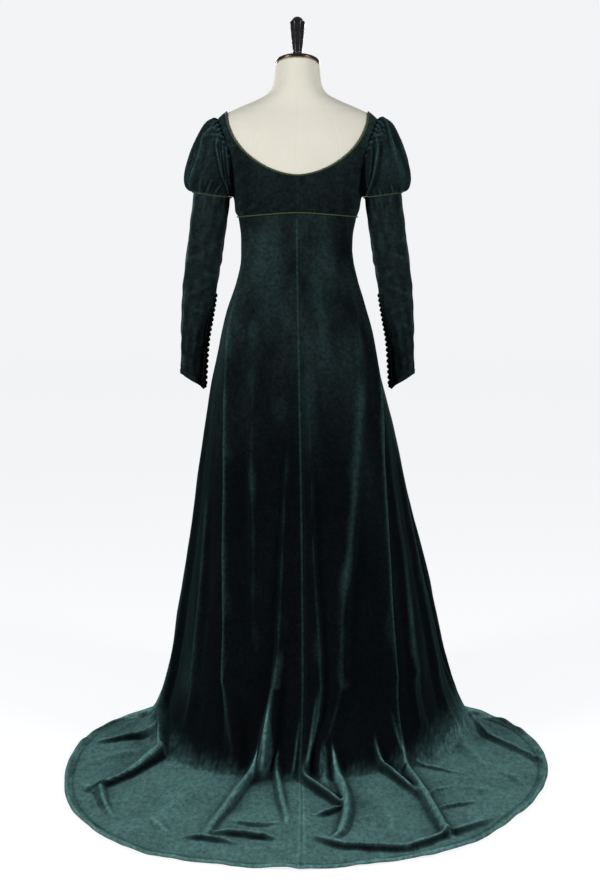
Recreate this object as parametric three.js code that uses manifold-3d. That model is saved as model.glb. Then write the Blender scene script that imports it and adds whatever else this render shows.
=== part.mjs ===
// Long velvet gown with a scooped back, puffed upper sleeves, buttoned forearms and a round train,
// standing on a limbless dress form. Millimetres, +Z up. The pole of the form is the Z axis and its
// base stands on z = 0. The back of the gown and the train face -Y, the front faces +Y.
import * as THREE from "three";
import { mergeVertices } from "three/addons/utils/BufferGeometryUtils.js";
import Module from "manifold-3d";

const wasm = await Module();
wasm.setup();

// ---------------------------------------------------------------- driving sizes

const CLOTH = 2; // velvet wall
const GAP = 0.3; // between pieces that are sewn or rest together
const SEWN_LIFT = 0.7; // under what is sewn onto the round of a sleeve
const EASE = 0.5; // between the form and the cloth that it carries

const SEAM_Z = 1150; // empire seam, where the skirt hangs from the bodice
const BACK_NECK = { half: 158, top: 1373, depth: 137, round: 1.8 };
const FRONT_NECK = { half: 158, top: 1373, depth: 124, round: 2 };
const ARMHOLE = { z: 1283, halfHeight: 74, halfDepth: 52 };

const CUPS = { angle: 152, halfAngle: 20, z: 1214, halfHeight: 36, lift: 15 };
const FILLET = { height: 170, reach: 80, share: 0.5 }; // where the skirt turns onto the floor
const TRAIN = { fullFolds: 400, flatFrom: 2.3, power: 1.5 }; // how the folds die out on the floor

const NECK_TOP = { z: 1479, tilt: 18, radius: 48.5 };
const POLE_RADIUS = 16;
const FORM_BOTTOM = 784;
const STAND = { radius: 180, edge: 8, plate: 12, bossRadius: 30, bossTop: 45 };

const PIPING = { neck: 2.6, waist: 2.2, band: 1.8 }; // cord radii
const BUTTON = { count: 18, radius: 4.6, height: 5.2, firstZ: 974, lastZ: 790, angle: 164 };
const LOOP_TAPE = { from: 139, to: 153, thick: 1.2, overrun: 6 };

// Half sizes of the form at each height: to the side, to the back and to the front of the axis.
// square is the exponent of the section, 2 for an ellipse; tilt raises the back of the ring.
const FORM = [
  { z: 784, side: 142, back: 106, front: 86, square: 2.2, tilt: 0 },
  { z: 800, side: 148, back: 112, front: 90, square: 2.2, tilt: 0 },
  { z: 860, side: 153, back: 118, front: 97, square: 2.2, tilt: 0 },
  { z: 930, side: 141, back: 109, front: 97, square: 2.2, tilt: 0 },
  { z: 1000, side: 119, back: 91, front: 93, square: 2.2, tilt: 0 },
  { z: 1060, side: 110, back: 82, front: 92, square: 2.2, tilt: 0 },
  { z: 1110, side: 114, back: 85, front: 98, square: 2.2, tilt: 0 },
  { z: 1150, side: 129, back: 93, front: 107, square: 2.2, tilt: 0 },
  { z: 1185, side: 137, back: 97, front: 112, square: 2.2, tilt: 0 },
  { z: 1214, side: 144, back: 99, front: 114, square: 2.3, tilt: 0 },
  { z: 1250, side: 156, back: 98, front: 108, square: 2.3, tilt: 0 },
  { z: 1290, side: 168, back: 94, front: 97, square: 2.3, tilt: 0 },
  { z: 1330, side: 179, back: 84, front: 80, square: 2.3, tilt: 0 },
  { z: 1352, side: 177, back: 75, front: 69, square: 2.2, tilt: 0 },
  { z: 1372, side: 161, back: 66, front: 60, square: 2.1, tilt: 0 },
  { z: 1388, side: 130, back: 59, front: 54, square: 2, tilt: 0 },
  { z: 1404, side: 92, back: 55, front: 51, square: 2, tilt: 0 },
  { z: 1420, side: 64, back: 53, front: 50, square: 2, tilt: 0.05 },
  { z: 1440, side: 53, back: 51, front: 49, square: 2, tilt: 0.2 },
  { z: 1478.7, side: 48.5, back: 48.5, front: 48.5, square: 2, tilt: 0.325 },
];

// Half sizes of the skirt's outer face, without its folds.
const SKIRT = [
  { z: 0, left: 305, right: 352, back: 425, front: 292, square: 2 },
  { z: 100, left: 288, right: 336, back: 402, front: 280, square: 2 },
  { z: 200, left: 270, right: 315, back: 372, front: 268, square: 2 },
  { z: 350, left: 246, right: 281, back: 324, front: 246, square: 2 },
  { z: 500, left: 226, right: 247, back: 274, front: 222, square: 2 },
  { z: 650, left: 207, right: 218, back: 226, front: 198, square: 2 },
  { z: 800, left: 186, right: 184, back: 178, front: 172, square: 2.05 },
  { z: 900, left: 168, right: 162, back: 145, front: 152, square: 2.1 },
  { z: 960, left: 151, right: 145, back: 124, front: 139, square: 2.1 },
  { z: 1010, left: 135, right: 130, back: 108, front: 127, square: 2.15 },
  { z: 1060, left: 126, right: 122, back: 97, front: 117, square: 2.2 },
  { z: 1100, left: 126, right: 123, back: 94, front: 112, square: 2.2 },
  { z: 1150, left: 132, right: 132, back: 96, front: 111.5, square: 2.2 },
];

// Distance of the hem from the axis at each angle, left and right of the centre back.
const HEM = [
  { angle: 0, left: 1040, right: 1040 },
  { angle: 15, left: 998, right: 990 },
  { angle: 30, left: 848, right: 849 },
  { angle: 45, left: 678, right: 718 },
  { angle: 60, left: 558, right: 613 },
  { angle: 75, left: 480, right: 532 },
  { angle: 90, left: 414, right: 465 },
  { angle: 105, left: 367, right: 414 },
  { angle: 120, left: 338, right: 368 },
  { angle: 150, left: 309, right: 315 },
  { angle: 180, left: 304, right: 304 },
];

// Largest folds: the angle of each crest at the seam and at the floor, its half width in degrees,
// its height at the floor, and the height on the skirt where it starts.
const FOLDS = [
  { seam: -148, foot: -150, half: 14, lift: 16, from: 1050 },
  { seam: -112, foot: -104, half: 12, lift: 14, from: 1050 },
  { seam: -82, foot: -64, half: 11, lift: 16, from: 1100 },
  { seam: -56, foot: -36, half: 9, lift: 18, from: 1120 },
  { seam: -9, foot: -11, half: 7, lift: 20, from: 1000 },
  { seam: 9, foot: 10, half: 7, lift: 18, from: 1100 },
  { seam: 44, foot: 19, half: 8, lift: 12, from: 1120 },
  { seam: 68, foot: 37, half: 9, lift: 22, from: 1120 },
  { seam: 86, foot: 63, half: 11, lift: 16, from: 1050 },
  { seam: 112, foot: 104, half: 12, lift: 14, from: 1050 },
  { seam: 148, foot: 150, half: 14, lift: 16, from: 1050 },
  { seam: 180, foot: 180, half: 13, lift: 12, from: 1050 },
];

// Right sleeve below the puff, from its band to its cuff: centre, half width and half depth.
// slant raises the outer side of the ring over the inner one.
const SLEEVE = [
  { z: 1196, x: 190, y: 0, wide: 41, deep: 49, slant: 6 },
  { z: 1141, x: 197, y: -2, wide: 41, deep: 48, slant: 3 },
  { z: 1097, x: 203, y: -4, wide: 40, deep: 47, slant: 0 },
  { z: 1052, x: 210, y: -5, wide: 40, deep: 46, slant: 0 },
  { z: 1008, x: 216, y: -5, wide: 38.5, deep: 44, slant: 0 },
  { z: 963, x: 221, y: -2, wide: 37, deep: 41, slant: 0 },
  { z: 918, x: 226, y: 4, wide: 34, deep: 38, slant: 0 },
  { z: 873, x: 231, y: 12, wide: 30.5, deep: 35, slant: 2 },
  { z: 828, x: 234, y: 20, wide: 29, deep: 33, slant: 9 },
  { z: 781, x: 236, y: 28, wide: 27.5, deep: 32, slant: 16 },
];

// Puff of the right sleeve: how far its cloth reaches out of the armhole and out of the band,
// on the outer side of the arm and on the inner side.
const PUFF = {
  band: { x: 190.5, y: 0, z: 1198, wide: 45.5, deep: 53, slant: 6 },
  outOfArmhole: { outer: 34, inner: 4 },
  aboveArmhole: { outer: 34, inner: 2 },
  outOfBand: { outer: 47, inner: 5 },
  aboveBand: { outer: 12, inner: 4 },
  gathers: 7,
  gatherDepth: 3,
};

const COLOURS = {
  velvet: { color: 0x16302c, roughness: 0.9, metalness: 0 },
  piping: { color: 0x5a6a2c, roughness: 0.7, metalness: 0 },
  linen: { color: 0xdcd8c8, roughness: 0.9, metalness: 0 },
  lacquer: { color: 0x1b1c20, roughness: 0.25, metalness: 0 },
  brass: { color: 0xb08a4a, roughness: 0.35, metalness: 1 },
  steel: { color: 0x3a3b3d, roughness: 0.4, metalness: 1 },
};

// ---------------------------------------------------------------- curves and tables

const rad = THREE.MathUtils.degToRad;
const mix = THREE.MathUtils.lerp;
const clamp = THREE.MathUtils.clamp;
const vec = (x, y, z) => new THREE.Vector3(x, y, z);

// A column of a table at any place along another column, smooth and without overshoot.
function read(table, along, column, at) {
  const rows = [...table].sort((a, b) => a[along] - b[along]);
  const x = rows.map((row) => row[along]);
  const y = rows.map((row) => row[column]);
  const last = rows.length - 1;
  if (at <= x[0]) return y[0];
  if (at >= x[last]) return y[last];
  const step = (i) => (y[i + 1] - y[i]) / (x[i + 1] - x[i]);
  const slope = (i) => {
    if (i === 0) return step(0);
    if (i === last) return step(last - 1);
    const before = step(i - 1);
    const after = step(i);
    return before * after <= 0 ? 0 : (2 * before * after) / (before + after);
  };
  const i = x.findIndex((value) => value > at) - 1;
  const width = x[i + 1] - x[i];
  const t = (at - x[i]) / width;
  const rise = t * t * (3 - 2 * t);
  const start = t * (1 - t) * (1 - t) * width;
  const end = t * t * (t - 1) * width;
  return mix(y[i], y[i + 1], rise) + start * slope(i) + end * slope(i + 1);
}

// Radius at an angle of a rounded section whose half sizes are side and depth.
function sectionRadius(angle, side, depth, square) {
  const across = Math.abs(Math.sin(rad(angle))) / side;
  const along = Math.abs(Math.cos(rad(angle))) / depth;
  return (across ** square + along ** square) ** (-1 / square);
}

// A point at an angle from the centre back, which grows towards +X.
const around = (angle, radius, z) =>
  vec(radius * Math.sin(rad(angle)), -radius * Math.cos(rad(angle)), z);

const evenly = (from, to, count) =>
  Array.from({ length: count + 1 }, (_, i) => mix(from, to, i / count));

const turnBetween = (a, b) => THREE.MathUtils.euclideanModulo(a - b + 180, 360) - 180;

// ---------------------------------------------------------------- solids

// The outward normal of a surface (u, v) => point, with v down the cloth. A positive step in u
// suits a u that grows from -Y to +X, and a negative one suits a u that grows the other way.
function normalOf(surface, u, v, du, dv) {
  const across = surface(u + du, v).sub(surface(u - du, v));
  const down = surface(u, v + dv).sub(surface(u, v - dv));
  return down.cross(across).normalize();
}

function geometryFrom(points, triangles) {
  const geometry = new THREE.BufferGeometry();
  geometry.setAttribute(
    "position",
    new THREE.Float32BufferAttribute(points.flatMap((p) => p.toArray()), 3),
  );
  geometry.setIndex(triangles.flat());
  return geometry;
}

// A closed skin over rings of points, capped by fans at both ends.
function skin(rings) {
  const sides = rings[0].length;
  const points = rings.flat();
  const triangles = [];
  const corners = (i, j) => [i * sides + j, i * sides + ((j + 1) % sides)];
  for (let i = 0; i < rings.length - 1; i++) {
    for (let j = 0; j < sides; j++) {
      const [a, b] = corners(i, j);
      const [c, d] = corners(i + 1, j);
      triangles.push([a, c, b], [b, c, d]);
    }
  }
  for (const [ring, last] of [[0, false], [rings.length - 1, true]]) {
    const centre = rings[ring].reduce((sum, p) => sum.add(p), vec(0, 0, 0)).divideScalar(sides);
    points.push(centre);
    for (let j = 0; j < sides; j++) {
      const [a, b] = corners(ring, j);
      triangles.push(last ? [b, a, points.length - 1] : [a, b, points.length - 1]);
    }
  }
  return geometryFrom(points, triangles);
}

// A cloth wall between two grids of points, outer[column][row] and inner[column][row], whose two
// faces share their diagonals. A looped wall has no first and last column.
function wall(outer, inner, looped) {
  const columns = outer.length;
  const rows = outer[0].length;
  const depth = columns * rows;
  const at = (i, j) => (i % columns) * rows + j;
  const triangles = [];
  const edge = (p, q) => triangles.push([q, p, p + depth], [q, p + depth, q + depth]);
  const spans = looped ? columns : columns - 1;
  for (let i = 0; i < spans; i++) {
    for (let j = 0; j < rows - 1; j++) {
      const [a, b, c, d] = [at(i, j), at(i, j + 1), at(i + 1, j), at(i + 1, j + 1)];
      triangles.push([a, c, b], [b, c, d]);
      triangles.push([a + depth, b + depth, c + depth], [b + depth, d + depth, c + depth]);
    }
    edge(at(i, 0), at(i + 1, 0));
    edge(at(i + 1, rows - 1), at(i, rows - 1));
  }
  for (let j = 0; j < rows - 1 && !looped; j++) {
    edge(at(0, j + 1), at(0, j));
    edge(at(spans, j), at(spans, j + 1));
  }
  return geometryFrom([...outer, ...inner].flat(), triangles);
}

// The points of a surface on a grid, moved along its normal by each of two distances.
function layers(surface, us, vs, outwards, inwards, du, dv) {
  const at = (distance) =>
    us.map((u) =>
      vs.map((v) =>
        surface(u, v).addScaledVector(normalOf(surface, u, v, du, dv), distance),
      ),
    );
  return [at(outwards), at(inwards)];
}

// A round cord along a closed line of points.
const cord = (line, radius) =>
  new THREE.TubeGeometry(new THREE.CatmullRomCurve3(line, true), line.length, radius, 6, true);

function signedVolume(geometry) {
  const { array } = geometry.getAttribute("position");
  const at = (i) => vec(array[3 * i], array[3 * i + 1], array[3 * i + 2]);
  let volume = 0;
  for (let i = 0; i < geometry.index.count; i += 3) {
    const [a, b, c] = [0, 1, 2].map((k) => at(geometry.index.getX(i + k)));
    volume += a.dot(b.cross(c)) / 6;
  }
  return volume;
}

// The same closed surface with one vertex at each corner and its faces turned outwards.
function closed(geometry) {
  const bare = geometry.clone();
  bare.deleteAttribute("normal");
  bare.deleteAttribute("uv");
  const merged = mergeVertices(bare, 1e-3);
  if (signedVolume(merged) < 0) merged.index.array.reverse();
  return merged;
}

function solid(geometry) {
  const { index, attributes } = closed(geometry);
  const triVerts = new Uint32Array(index.array);
  const vertProperties = attributes.position.array;
  return new wasm.Manifold(new wasm.Mesh({ numProp: 3, vertProperties, triVerts }));
}

function geometryOf(made) {
  const mesh = made.getMesh();
  const geometry = new THREE.BufferGeometry();
  geometry.setAttribute("position", new THREE.Float32BufferAttribute(mesh.vertProperties, 3));
  geometry.setIndex(new THREE.BufferAttribute(mesh.triVerts, 1));
  return geometry;
}

// ---------------------------------------------------------------- the shared body surface

// The form's surface at an angle and a height. The front carries two soft cups.
function formPoint(angle, z) {
  const turned = Math.abs(turnBetween(angle, 0));
  const depth = read(FORM, "z", turned < 90 ? "back" : "front", z);
  const side = read(FORM, "z", "side", z);
  const cup =
    CUPS.lift *
    Math.exp(-(((turned - CUPS.angle) / CUPS.halfAngle) ** 2)) *
    Math.exp(-(((z - CUPS.z) / CUPS.halfHeight) ** 2));
  const radius = sectionRadius(angle, side, depth, read(FORM, "z", "square", z)) + cup;
  const point = around(angle, radius, z);
  point.z -= point.y * read(FORM, "z", "tilt", z);
  return point;
}

// The body's surface above a point (y, z) of the side view, on the +X side.
function bodySide(y, z, distance) {
  const side = read(FORM, "z", "side", z) + distance;
  const depth = read(FORM, "z", y < 0 ? "back" : "front", z) + distance;
  const square = read(FORM, "z", "square", z);
  return side * (1 - Math.min(1, Math.abs(y) / depth) ** square) ** (1 / square);
}

const FORM_ROWS = [
  784, 800, 840, 900, 960, 1010, 1060, 1105, 1150, 1182, 1214, 1246, 1280, 1314, 1340, 1358, 1372,
  1386, 1402, 1420, 1440, 1478.7,
];
const BODY_COLUMNS = 36;

function bodyRings(rows, distance) {
  return rows.map((z) =>
    evenly(-180, 180, BODY_COLUMNS)
      .slice(0, BODY_COLUMNS)
      .map((angle) => {
        const normal = normalOf(formPoint, angle, z, 0.5, -0.5);
        return formPoint(angle, z).addScaledVector(normal, distance);
      }),
  );
}

// The body between two heights, a distance larger all round.
function bodySolid(from, to, distance) {
  const rows = FORM_ROWS.filter((z) => z >= from && z <= to);
  return solid(skin(bodyRings(rows, distance)));
}

// ---------------------------------------------------------------- dress form

function torso() {
  return skin(bodyRings(FORM_ROWS, 0));
}

// Rings on the neck stand in a group tilted with it; heights are measured from the neck's top.
const neckRing = () =>
  new THREE.CylinderGeometry(NECK_TOP.radius, NECK_TOP.radius, 3, 24).rotateX(rad(90));

function lathe(profile, sides) {
  const points = profile.map(([radius, z]) => new THREE.Vector2(radius, z));
  return new THREE.LatheGeometry(points, sides).rotateX(rad(90));
}

function neckCap() {
  const rim = NECK_TOP.radius + 0.8;
  return lathe([[0, 4], [rim - 1.5, 4], [rim, 5.5], [rim, 9], [42, 13.5], [28, 17], [12, 19], [0, 19]], 24);
}

const finialCollar = () => lathe([[0, 19.3], [11, 19.3], [12, 22], [10, 26], [9, 28], [0, 28]], 20);

function finial() {
  const turned = [[0, 28.3], [10, 28.3], [11, 32], [16.5, 96], [18, 98], [18, 101], [13, 108], [6, 113], [0, 115]];
  return lathe(turned, 10);
}

function pole() {
  const foot = STAND.plate + GAP;
  const length = FORM_BOTTOM - GAP - foot;
  return new THREE.CylinderGeometry(POLE_RADIUS, POLE_RADIUS, length, 24)
    .rotateX(rad(90))
    .translate(0, 0, foot + length / 2);
}

function standBase() {
  const { radius, edge, plate, bossRadius, bossTop } = STAND;
  const bore = POLE_RADIUS + GAP;
  return lathe(
    [[0, 0], [radius, 0], [radius, edge], [bossRadius + 4, plate + 2], [bossRadius, plate + 6],
      [bossRadius, bossTop], [bore, bossTop], [bore, plate], [0, plate]],
    28,
  );
}

// ---------------------------------------------------------------- bodice

// Everything above a scooped neckline, from one side of the seam plane y = 0 outwards.
function neckCutter(neck, towards) {
  const shape = new THREE.Shape();
  const top = 1500;
  shape.moveTo(neck.half, top);
  for (const angle of evenly(0, 180, 28)) {
    const across = Math.cos(rad(angle));
    const x = neck.half * Math.sign(across) * Math.abs(across) ** (2 / neck.round);
    const y = neck.top - neck.depth * Math.sin(rad(angle)) ** (2 / neck.round);
    shape.lineTo(x, y);
  }
  shape.lineTo(-neck.half, top);
  const depth = 260;
  const geometry = new THREE.ExtrudeGeometry(shape, { depth, bevelEnabled: false });
  return solid(geometry.rotateX(rad(90)).translate(0, towards < 0 ? 0 : depth, 0));
}

function armholeCutter() {
  const { z, halfHeight, halfDepth } = ARMHOLE;
  const bar = new THREE.CylinderGeometry(1, 1, 600, 32).rotateZ(rad(90));
  return solid(bar.scale(1, halfHeight, halfDepth).rotateX(rad(90)).translate(0, 0, z));
}

// A block that keeps what lies above the empire seam on one side of the plane y = 0.
function panelKeeper(towards) {
  const size = 600;
  const block = new THREE.BoxGeometry(size, size, size);
  return solid(block.translate(0, (towards * (size + GAP)) / 2, SEAM_Z + (size + GAP) / 2));
}

function bodicePanels() {
  const shell = bodySolid(1100, 1420, EASE + CLOTH).subtract(bodySolid(1060, 1440, EASE));
  const armed = shell.subtract(armholeCutter());
  return {
    back: geometryOf(armed.subtract(neckCutter(BACK_NECK, -1)).intersect(panelKeeper(-1))),
    front: geometryOf(armed.subtract(neckCutter(FRONT_NECK, 1)).intersect(panelKeeper(1))),
  };
}

// ---------------------------------------------------------------- skirt and train

function skirtRadius(angle, z) {
  const turned = turnBetween(angle, 0);
  const side = read(SKIRT, "z", turned < 0 ? "left" : "right", z);
  const depth = read(SKIRT, "z", Math.abs(turned) < 90 ? "back" : "front", z);
  return sectionRadius(angle, side, depth, read(SKIRT, "z", "square", z));
}

const hemRadius = (angle) => {
  const turned = turnBetween(angle, 0);
  return read(HEM, "angle", turned < 0 ? "left" : "right", Math.abs(turned));
};

// How much cloth lies on the floor past the foot of the skirt.
const spareCloth = (angle) => hemRadius(angle) - skirtRadius(angle, 0);

// The skirt without folds. Down the cloth, v runs 0 to 1 from the seam to the top of the fillet,
// 1 to 2 round the fillet onto the floor, and 2 to 3 along the floor to the hem.
function smoothSkirt(angle, v) {
  const reach = Math.min(FILLET.reach, FILLET.share * spareCloth(angle));
  if (v <= 1) {
    const z = mix(SEAM_Z - GAP / 2, FILLET.height, v);
    return around(angle, skirtRadius(angle, z), z);
  }
  if (v <= 2) {
    const turn = rad(90 * (v - 1));
    const z = mix(FILLET.height, CLOTH, Math.sin(turn));
    return around(angle, skirtRadius(angle, z) + reach * (1 - Math.cos(turn)), z);
  }
  const start = skirtRadius(angle, CLOTH) + reach;
  return around(angle, mix(start, hemRadius(angle), v - 2), CLOTH);
}

function foldHeight(angle, v) {
  const down = clamp(v, 0, 1);
  const z = mix(SEAM_Z, FILLET.height, down);
  const flat = clamp((3 - v) / (3 - TRAIN.flatFrom), 0, 1) ** TRAIN.power;
  const room = clamp(spareCloth(angle) / TRAIN.fullFolds, 0, 1);
  const fade = flat * mix(1, room, clamp(v - 1, 0, 1));
  return FOLDS.reduce((height, fold) => {
    if (z > fold.from) return height;
    const crest = fold.seam + turnBetween(fold.foot, fold.seam) * down;
    const aside = Math.abs(turnBetween(angle, crest)) / fold.half;
    const grown = ((fold.from - z) / (fold.from - FILLET.height)) ** 1.2;
    if (aside >= 1) return height;
    return height + fold.lift * grown * fade * Math.cos((aside * Math.PI) / 2) ** 2;
  }, 0);
}

function skirtPoint(angle, v) {
  const normal = normalOf(smoothSkirt, angle, v, -0.5, 0.01);
  return smoothSkirt(angle, v).addScaledVector(normal, -foldHeight(angle, v));
}

const SKIRT_ROWS = [
  0, 0.07, 0.15, 0.26, 0.4, 0.6, 0.8, 1, 1.33, 1.67, 2, 2.2, 2.45, 2.7, 3,
];

// One panel of the skirt between two seams, half a gap inside each of them.
function skirtPanel(from, to, columns) {
  const seamTurn = (angle, v, towards) => {
    const radius = Math.hypot(smoothSkirt(angle, v).x, smoothSkirt(angle, v).y);
    return angle + towards * THREE.MathUtils.radToDeg(GAP / 2 / radius);
  };
  const angles = evenly(from, to, columns);
  const inset = (angle, v) => {
    if (angle === from) return seamTurn(angle, v, 1);
    return angle === to ? seamTurn(angle, v, -1) : angle;
  };
  const at = (depth) =>
    angles.map((angle) =>
      SKIRT_ROWS.map((v) => {
        const normal = normalOf(skirtPoint, angle, v, 0.5, 0.01);
        const point = skirtPoint(inset(angle, v), v).addScaledVector(normal, -depth);
        point.z = Math.max(0, point.z);
        return point;
      }),
    );
  return wall(at(0), at(CLOTH), false);
}

// ---------------------------------------------------------------- sleeves

// Right armhole on the body; 0 degrees is the shoulder, 90 the back and 180 the underarm.
function armholePoint(angle) {
  const y = -ARMHOLE.halfDepth * Math.sin(rad(angle));
  const z = ARMHOLE.z + ARMHOLE.halfHeight * Math.cos(rad(angle));
  return vec(bodySide(y, z, EASE), y, z);
}

function sleeveRing(ring, angle) {
  const x = ring.x + ring.wide * Math.cos(rad(angle));
  const y = ring.y - ring.deep * Math.sin(rad(angle));
  return vec(x, y, ring.z + ring.slant * Math.cos(rad(angle)));
}

// The puff at an angle round the sleeve, with along from 0 at the armhole to 1 at the band.
function puffPoint(angle, along) {
  const outer = Math.cos(rad(angle / 2)) ** 2;
  const reach = (size) => mix(size.inner, size.outer, outer);
  const start = armholePoint(angle);
  const end = sleeveRing(PUFF.band, angle);
  const rise = vec(0, -Math.sin(rad(angle)), Math.cos(rad(angle)));
  const past = vec(Math.cos(rad(angle)), -Math.sin(rad(angle)), 0);
  const above = start.clone().addScaledVector(rise, reach(PUFF.aboveArmhole));
  const below = end.clone().addScaledVector(past, reach(PUFF.outOfBand));
  above.x += reach(PUFF.outOfArmhole);
  below.z += reach(PUFF.aboveBand);
  const curve = new THREE.CubicBezierCurve3(start, above, below, end);
  return curve.getPoint(clamp(along, 0, 1));
}

function gatheredPuff(angle, along) {
  const full = Math.sin(Math.PI * clamp(along, 0, 1)) * Math.cos(rad(angle / 2)) ** 2;
  const wave = PUFF.gatherDepth * full * Math.cos(rad(PUFF.gathers * angle));
  const normal = normalOf(puffPoint, angle, along, -1, 0.02);
  return puffPoint(angle, along).addScaledVector(normal, wave);
}

const mirrored = (geometry, side) => (side < 0 ? geometry.scale(-1, 1, 1) : geometry);

function puff(side, body) {
  const angles = evenly(0, 360, 28).slice(0, 28);
  const rows = [0, 0.16, 0.34, 0.52, 0.7, 0.86, 1];
  const [outer, inner] = layers(gatheredPuff, angles, rows, 0, -CLOTH, -1, 0.02);
  const trimmed = solid(mirrored(wall(outer, inner, true), side)).subtract(body);
  const pieces = trimmed.decompose().sort((a, b) => b.volume() - a.volume());
  return geometryOf(pieces[0]);
}

function sleevePoint(angle, along) {
  const row = { z: mix(SLEEVE[0].z, SLEEVE.at(-1).z, clamp(along, 0, 1)) };
  for (const size of ["x", "y", "wide", "deep", "slant"]) {
    row[size] = read(SLEEVE, "z", size, row.z);
  }
  row.z -= along <= 0 ? GAP : 0;
  return sleeveRing(row, angle);
}

// Where a height falls along the sleeve.
const alongSleeve = (z) => (SLEEVE[0].z - z) / (SLEEVE[0].z - SLEEVE.at(-1).z);

// A point over the sleeve's cloth, a distance out of it, and the way out.
function offSleeve(angle, along, distance) {
  const out = normalOf(sleevePoint, angle, along, -1, 0.01);
  return { point: sleevePoint(angle, along).addScaledVector(out, distance), out };
}

function sleeve(side) {
  const angles = evenly(0, 360, 20).slice(0, 20);
  const [outer, inner] = layers(sleevePoint, angles, evenly(0, 1, 10), 0, -CLOTH, -1, 0.01);
  return mirrored(wall(outer, inner, true), side);
}

function loopTape(side) {
  const top = alongSleeve(BUTTON.firstZ + LOOP_TAPE.overrun);
  const bottom = alongSleeve(BUTTON.lastZ - LOOP_TAPE.overrun);
  const angles = evenly(LOOP_TAPE.from, LOOP_TAPE.to, 2);
  const rows = evenly(top, bottom, 10);
  const at = (distance) =>
    angles.map((angle) => rows.map((v) => offSleeve(angle, v, SEWN_LIFT + distance).point));
  return mirrored(wall(at(LOOP_TAPE.thick), at(0), false), side);
}

// A covered button: a low dome whose flat back faces the sleeve.
function button() {
  const { radius, height } = BUTTON;
  const profile = [[0, 0], [0.75, 0], [1, 0.4], [0.7, 0.85], [0, 1]];
  return lathe(profile.map(([out, up]) => [out * radius, up * height]), 8);
}

function placeButton(mesh, index, side) {
  const z = mix(BUTTON.firstZ, BUTTON.lastZ, index / (BUTTON.count - 1));
  const { point, out } = offSleeve(BUTTON.angle, alongSleeve(z), SEWN_LIFT);
  mesh.position.set(side * point.x, point.y, point.z);
  mesh.quaternion.setFromUnitVectors(vec(0, 0, 1), vec(side * out.x, out.y, out.z));
}

// ---------------------------------------------------------------- piping

// Half the width of the neckline at a height.
function neckHalf(neck, z) {
  const down = clamp((neck.top - z) / neck.depth, 0, 1);
  return neck.half * (1 - down ** neck.round) ** (1 / neck.round);
}

// The height at which the neckline crosses an angle round the body.
function neckHeight(angle) {
  const neck = Math.abs(turnBetween(angle, 0)) < 90 ? BACK_NECK : FRONT_NECK;
  let below = neck.top - neck.depth;
  let above = neck.top + 20;
  for (let i = 0; i < 40; i++) {
    const z = (below + above) / 2;
    if (Math.abs(formPoint(angle, z).x) > neckHalf(neck, z)) below = z;
    else above = z;
  }
  return above;
}

function neckPiping() {
  const count = 52;
  const angles = evenly(-180, 180, count).slice(0, count);
  const edge = angles.map((angle) => formPoint(angle, neckHeight(angle)));
  const line = angles.map((angle, i) => {
    const out = normalOf(formPoint, angle, neckHeight(angle), 0.5, -0.5);
    const along = edge[(i + 1) % count].clone().sub(edge.at(i - 1)).normalize();
    const upwards = out.clone().cross(along).normalize();
    if (upwards.z < 0) upwards.negate();
    return edge[i]
      .clone()
      .addScaledVector(out, PIPING.neck + 5 * GAP)
      .addScaledVector(upwards, PIPING.neck + 6 * GAP);
  });
  return cord(line, PIPING.neck);
}

function waistPiping() {
  const out = PIPING.waist + 3 * GAP;
  const line = evenly(-180, 180, 44)
    .slice(0, 44)
    .map((angle) => around(angle, skirtRadius(angle, SEAM_Z) + out, SEAM_Z));
  return cord(line, PIPING.waist);
}

function bandPiping(side) {
  const top = SLEEVE[0];
  const out = PIPING.band + GAP;
  const z = PUFF.band.z - PIPING.band - GAP;
  const ring = { ...top, z, wide: top.wide + out, deep: top.deep + out };
  const line = evenly(0, 360, 24)
    .slice(0, 24)
    .map((angle) => sleeveRing(ring, angle));
  return mirrored(cord(line, PIPING.band), side);
}

// ---------------------------------------------------------------- assembly

const gown = new THREE.Group();

function add(name, geometry, finish, parent = gown) {
  const mesh = new THREE.Mesh(closed(geometry), new THREE.MeshStandardMaterial(COLOURS[finish]));
  mesh.name = name;
  parent.add(mesh);
  return mesh;
}

const neck = new THREE.Group();
neck.position.z = NECK_TOP.z;
neck.rotation.x = rad(-NECK_TOP.tilt);
gown.add(neck);

add("form_torso", torso(), "linen");
add("form_neck_ring", neckRing().translate(0, 0, 2), "brass", neck);
add("form_neck_cap", neckCap(), "lacquer", neck);
add("form_finial_collar", finialCollar(), "steel", neck);
add("form_finial", finial(), "lacquer", neck);
add("stand_pole", pole(), "steel");
add("stand_base", standBase(), "steel");

const bodice = bodicePanels();
add("bodice_back", bodice.back, "velvet");
add("bodice_front", bodice.front, "velvet");
add("skirt_back_left", skirtPanel(-90, 0, 18), "velvet");
add("skirt_back_right", skirtPanel(0, 90, 18), "velvet");
add("skirt_front", skirtPanel(90, 270, 26), "velvet");
add("neck_piping", neckPiping(), "piping");
add("waist_piping", waistPiping(), "piping");

const bodyAndGap = bodySolid(1100, 1420, EASE + CLOTH + GAP);
for (const [hand, side] of [["left", -1], ["right", 1]]) {
  add(`puff_${hand}`, puff(side, bodyAndGap), "velvet");
  add(`sleeve_${hand}`, sleeve(side), "velvet");
  add(`band_piping_${hand}`, bandPiping(side), "piping");
  add(`loop_tape_${hand}`, loopTape(side), "velvet");
  for (let i = 0; i < BUTTON.count; i++) {
    const number = String(i + 1).padStart(2, "0");
    placeButton(add(`button_${hand}_${number}`, button(), "velvet"), i, side);
  }
}

export default gown;
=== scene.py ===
# A long velvet gown on a limbless dress form: scooped back, puffed upper sleeves, buttoned forearms
# and a round train on the floor. Metres, +Z up. The back of the gown faces -Y. Angles round the
# body are in degrees from the centre back and grow towards +X.
import math
from contextlib import contextmanager
from functools import partial

import bpy
import numpy as np
from mathutils import Matrix, Vector


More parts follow.
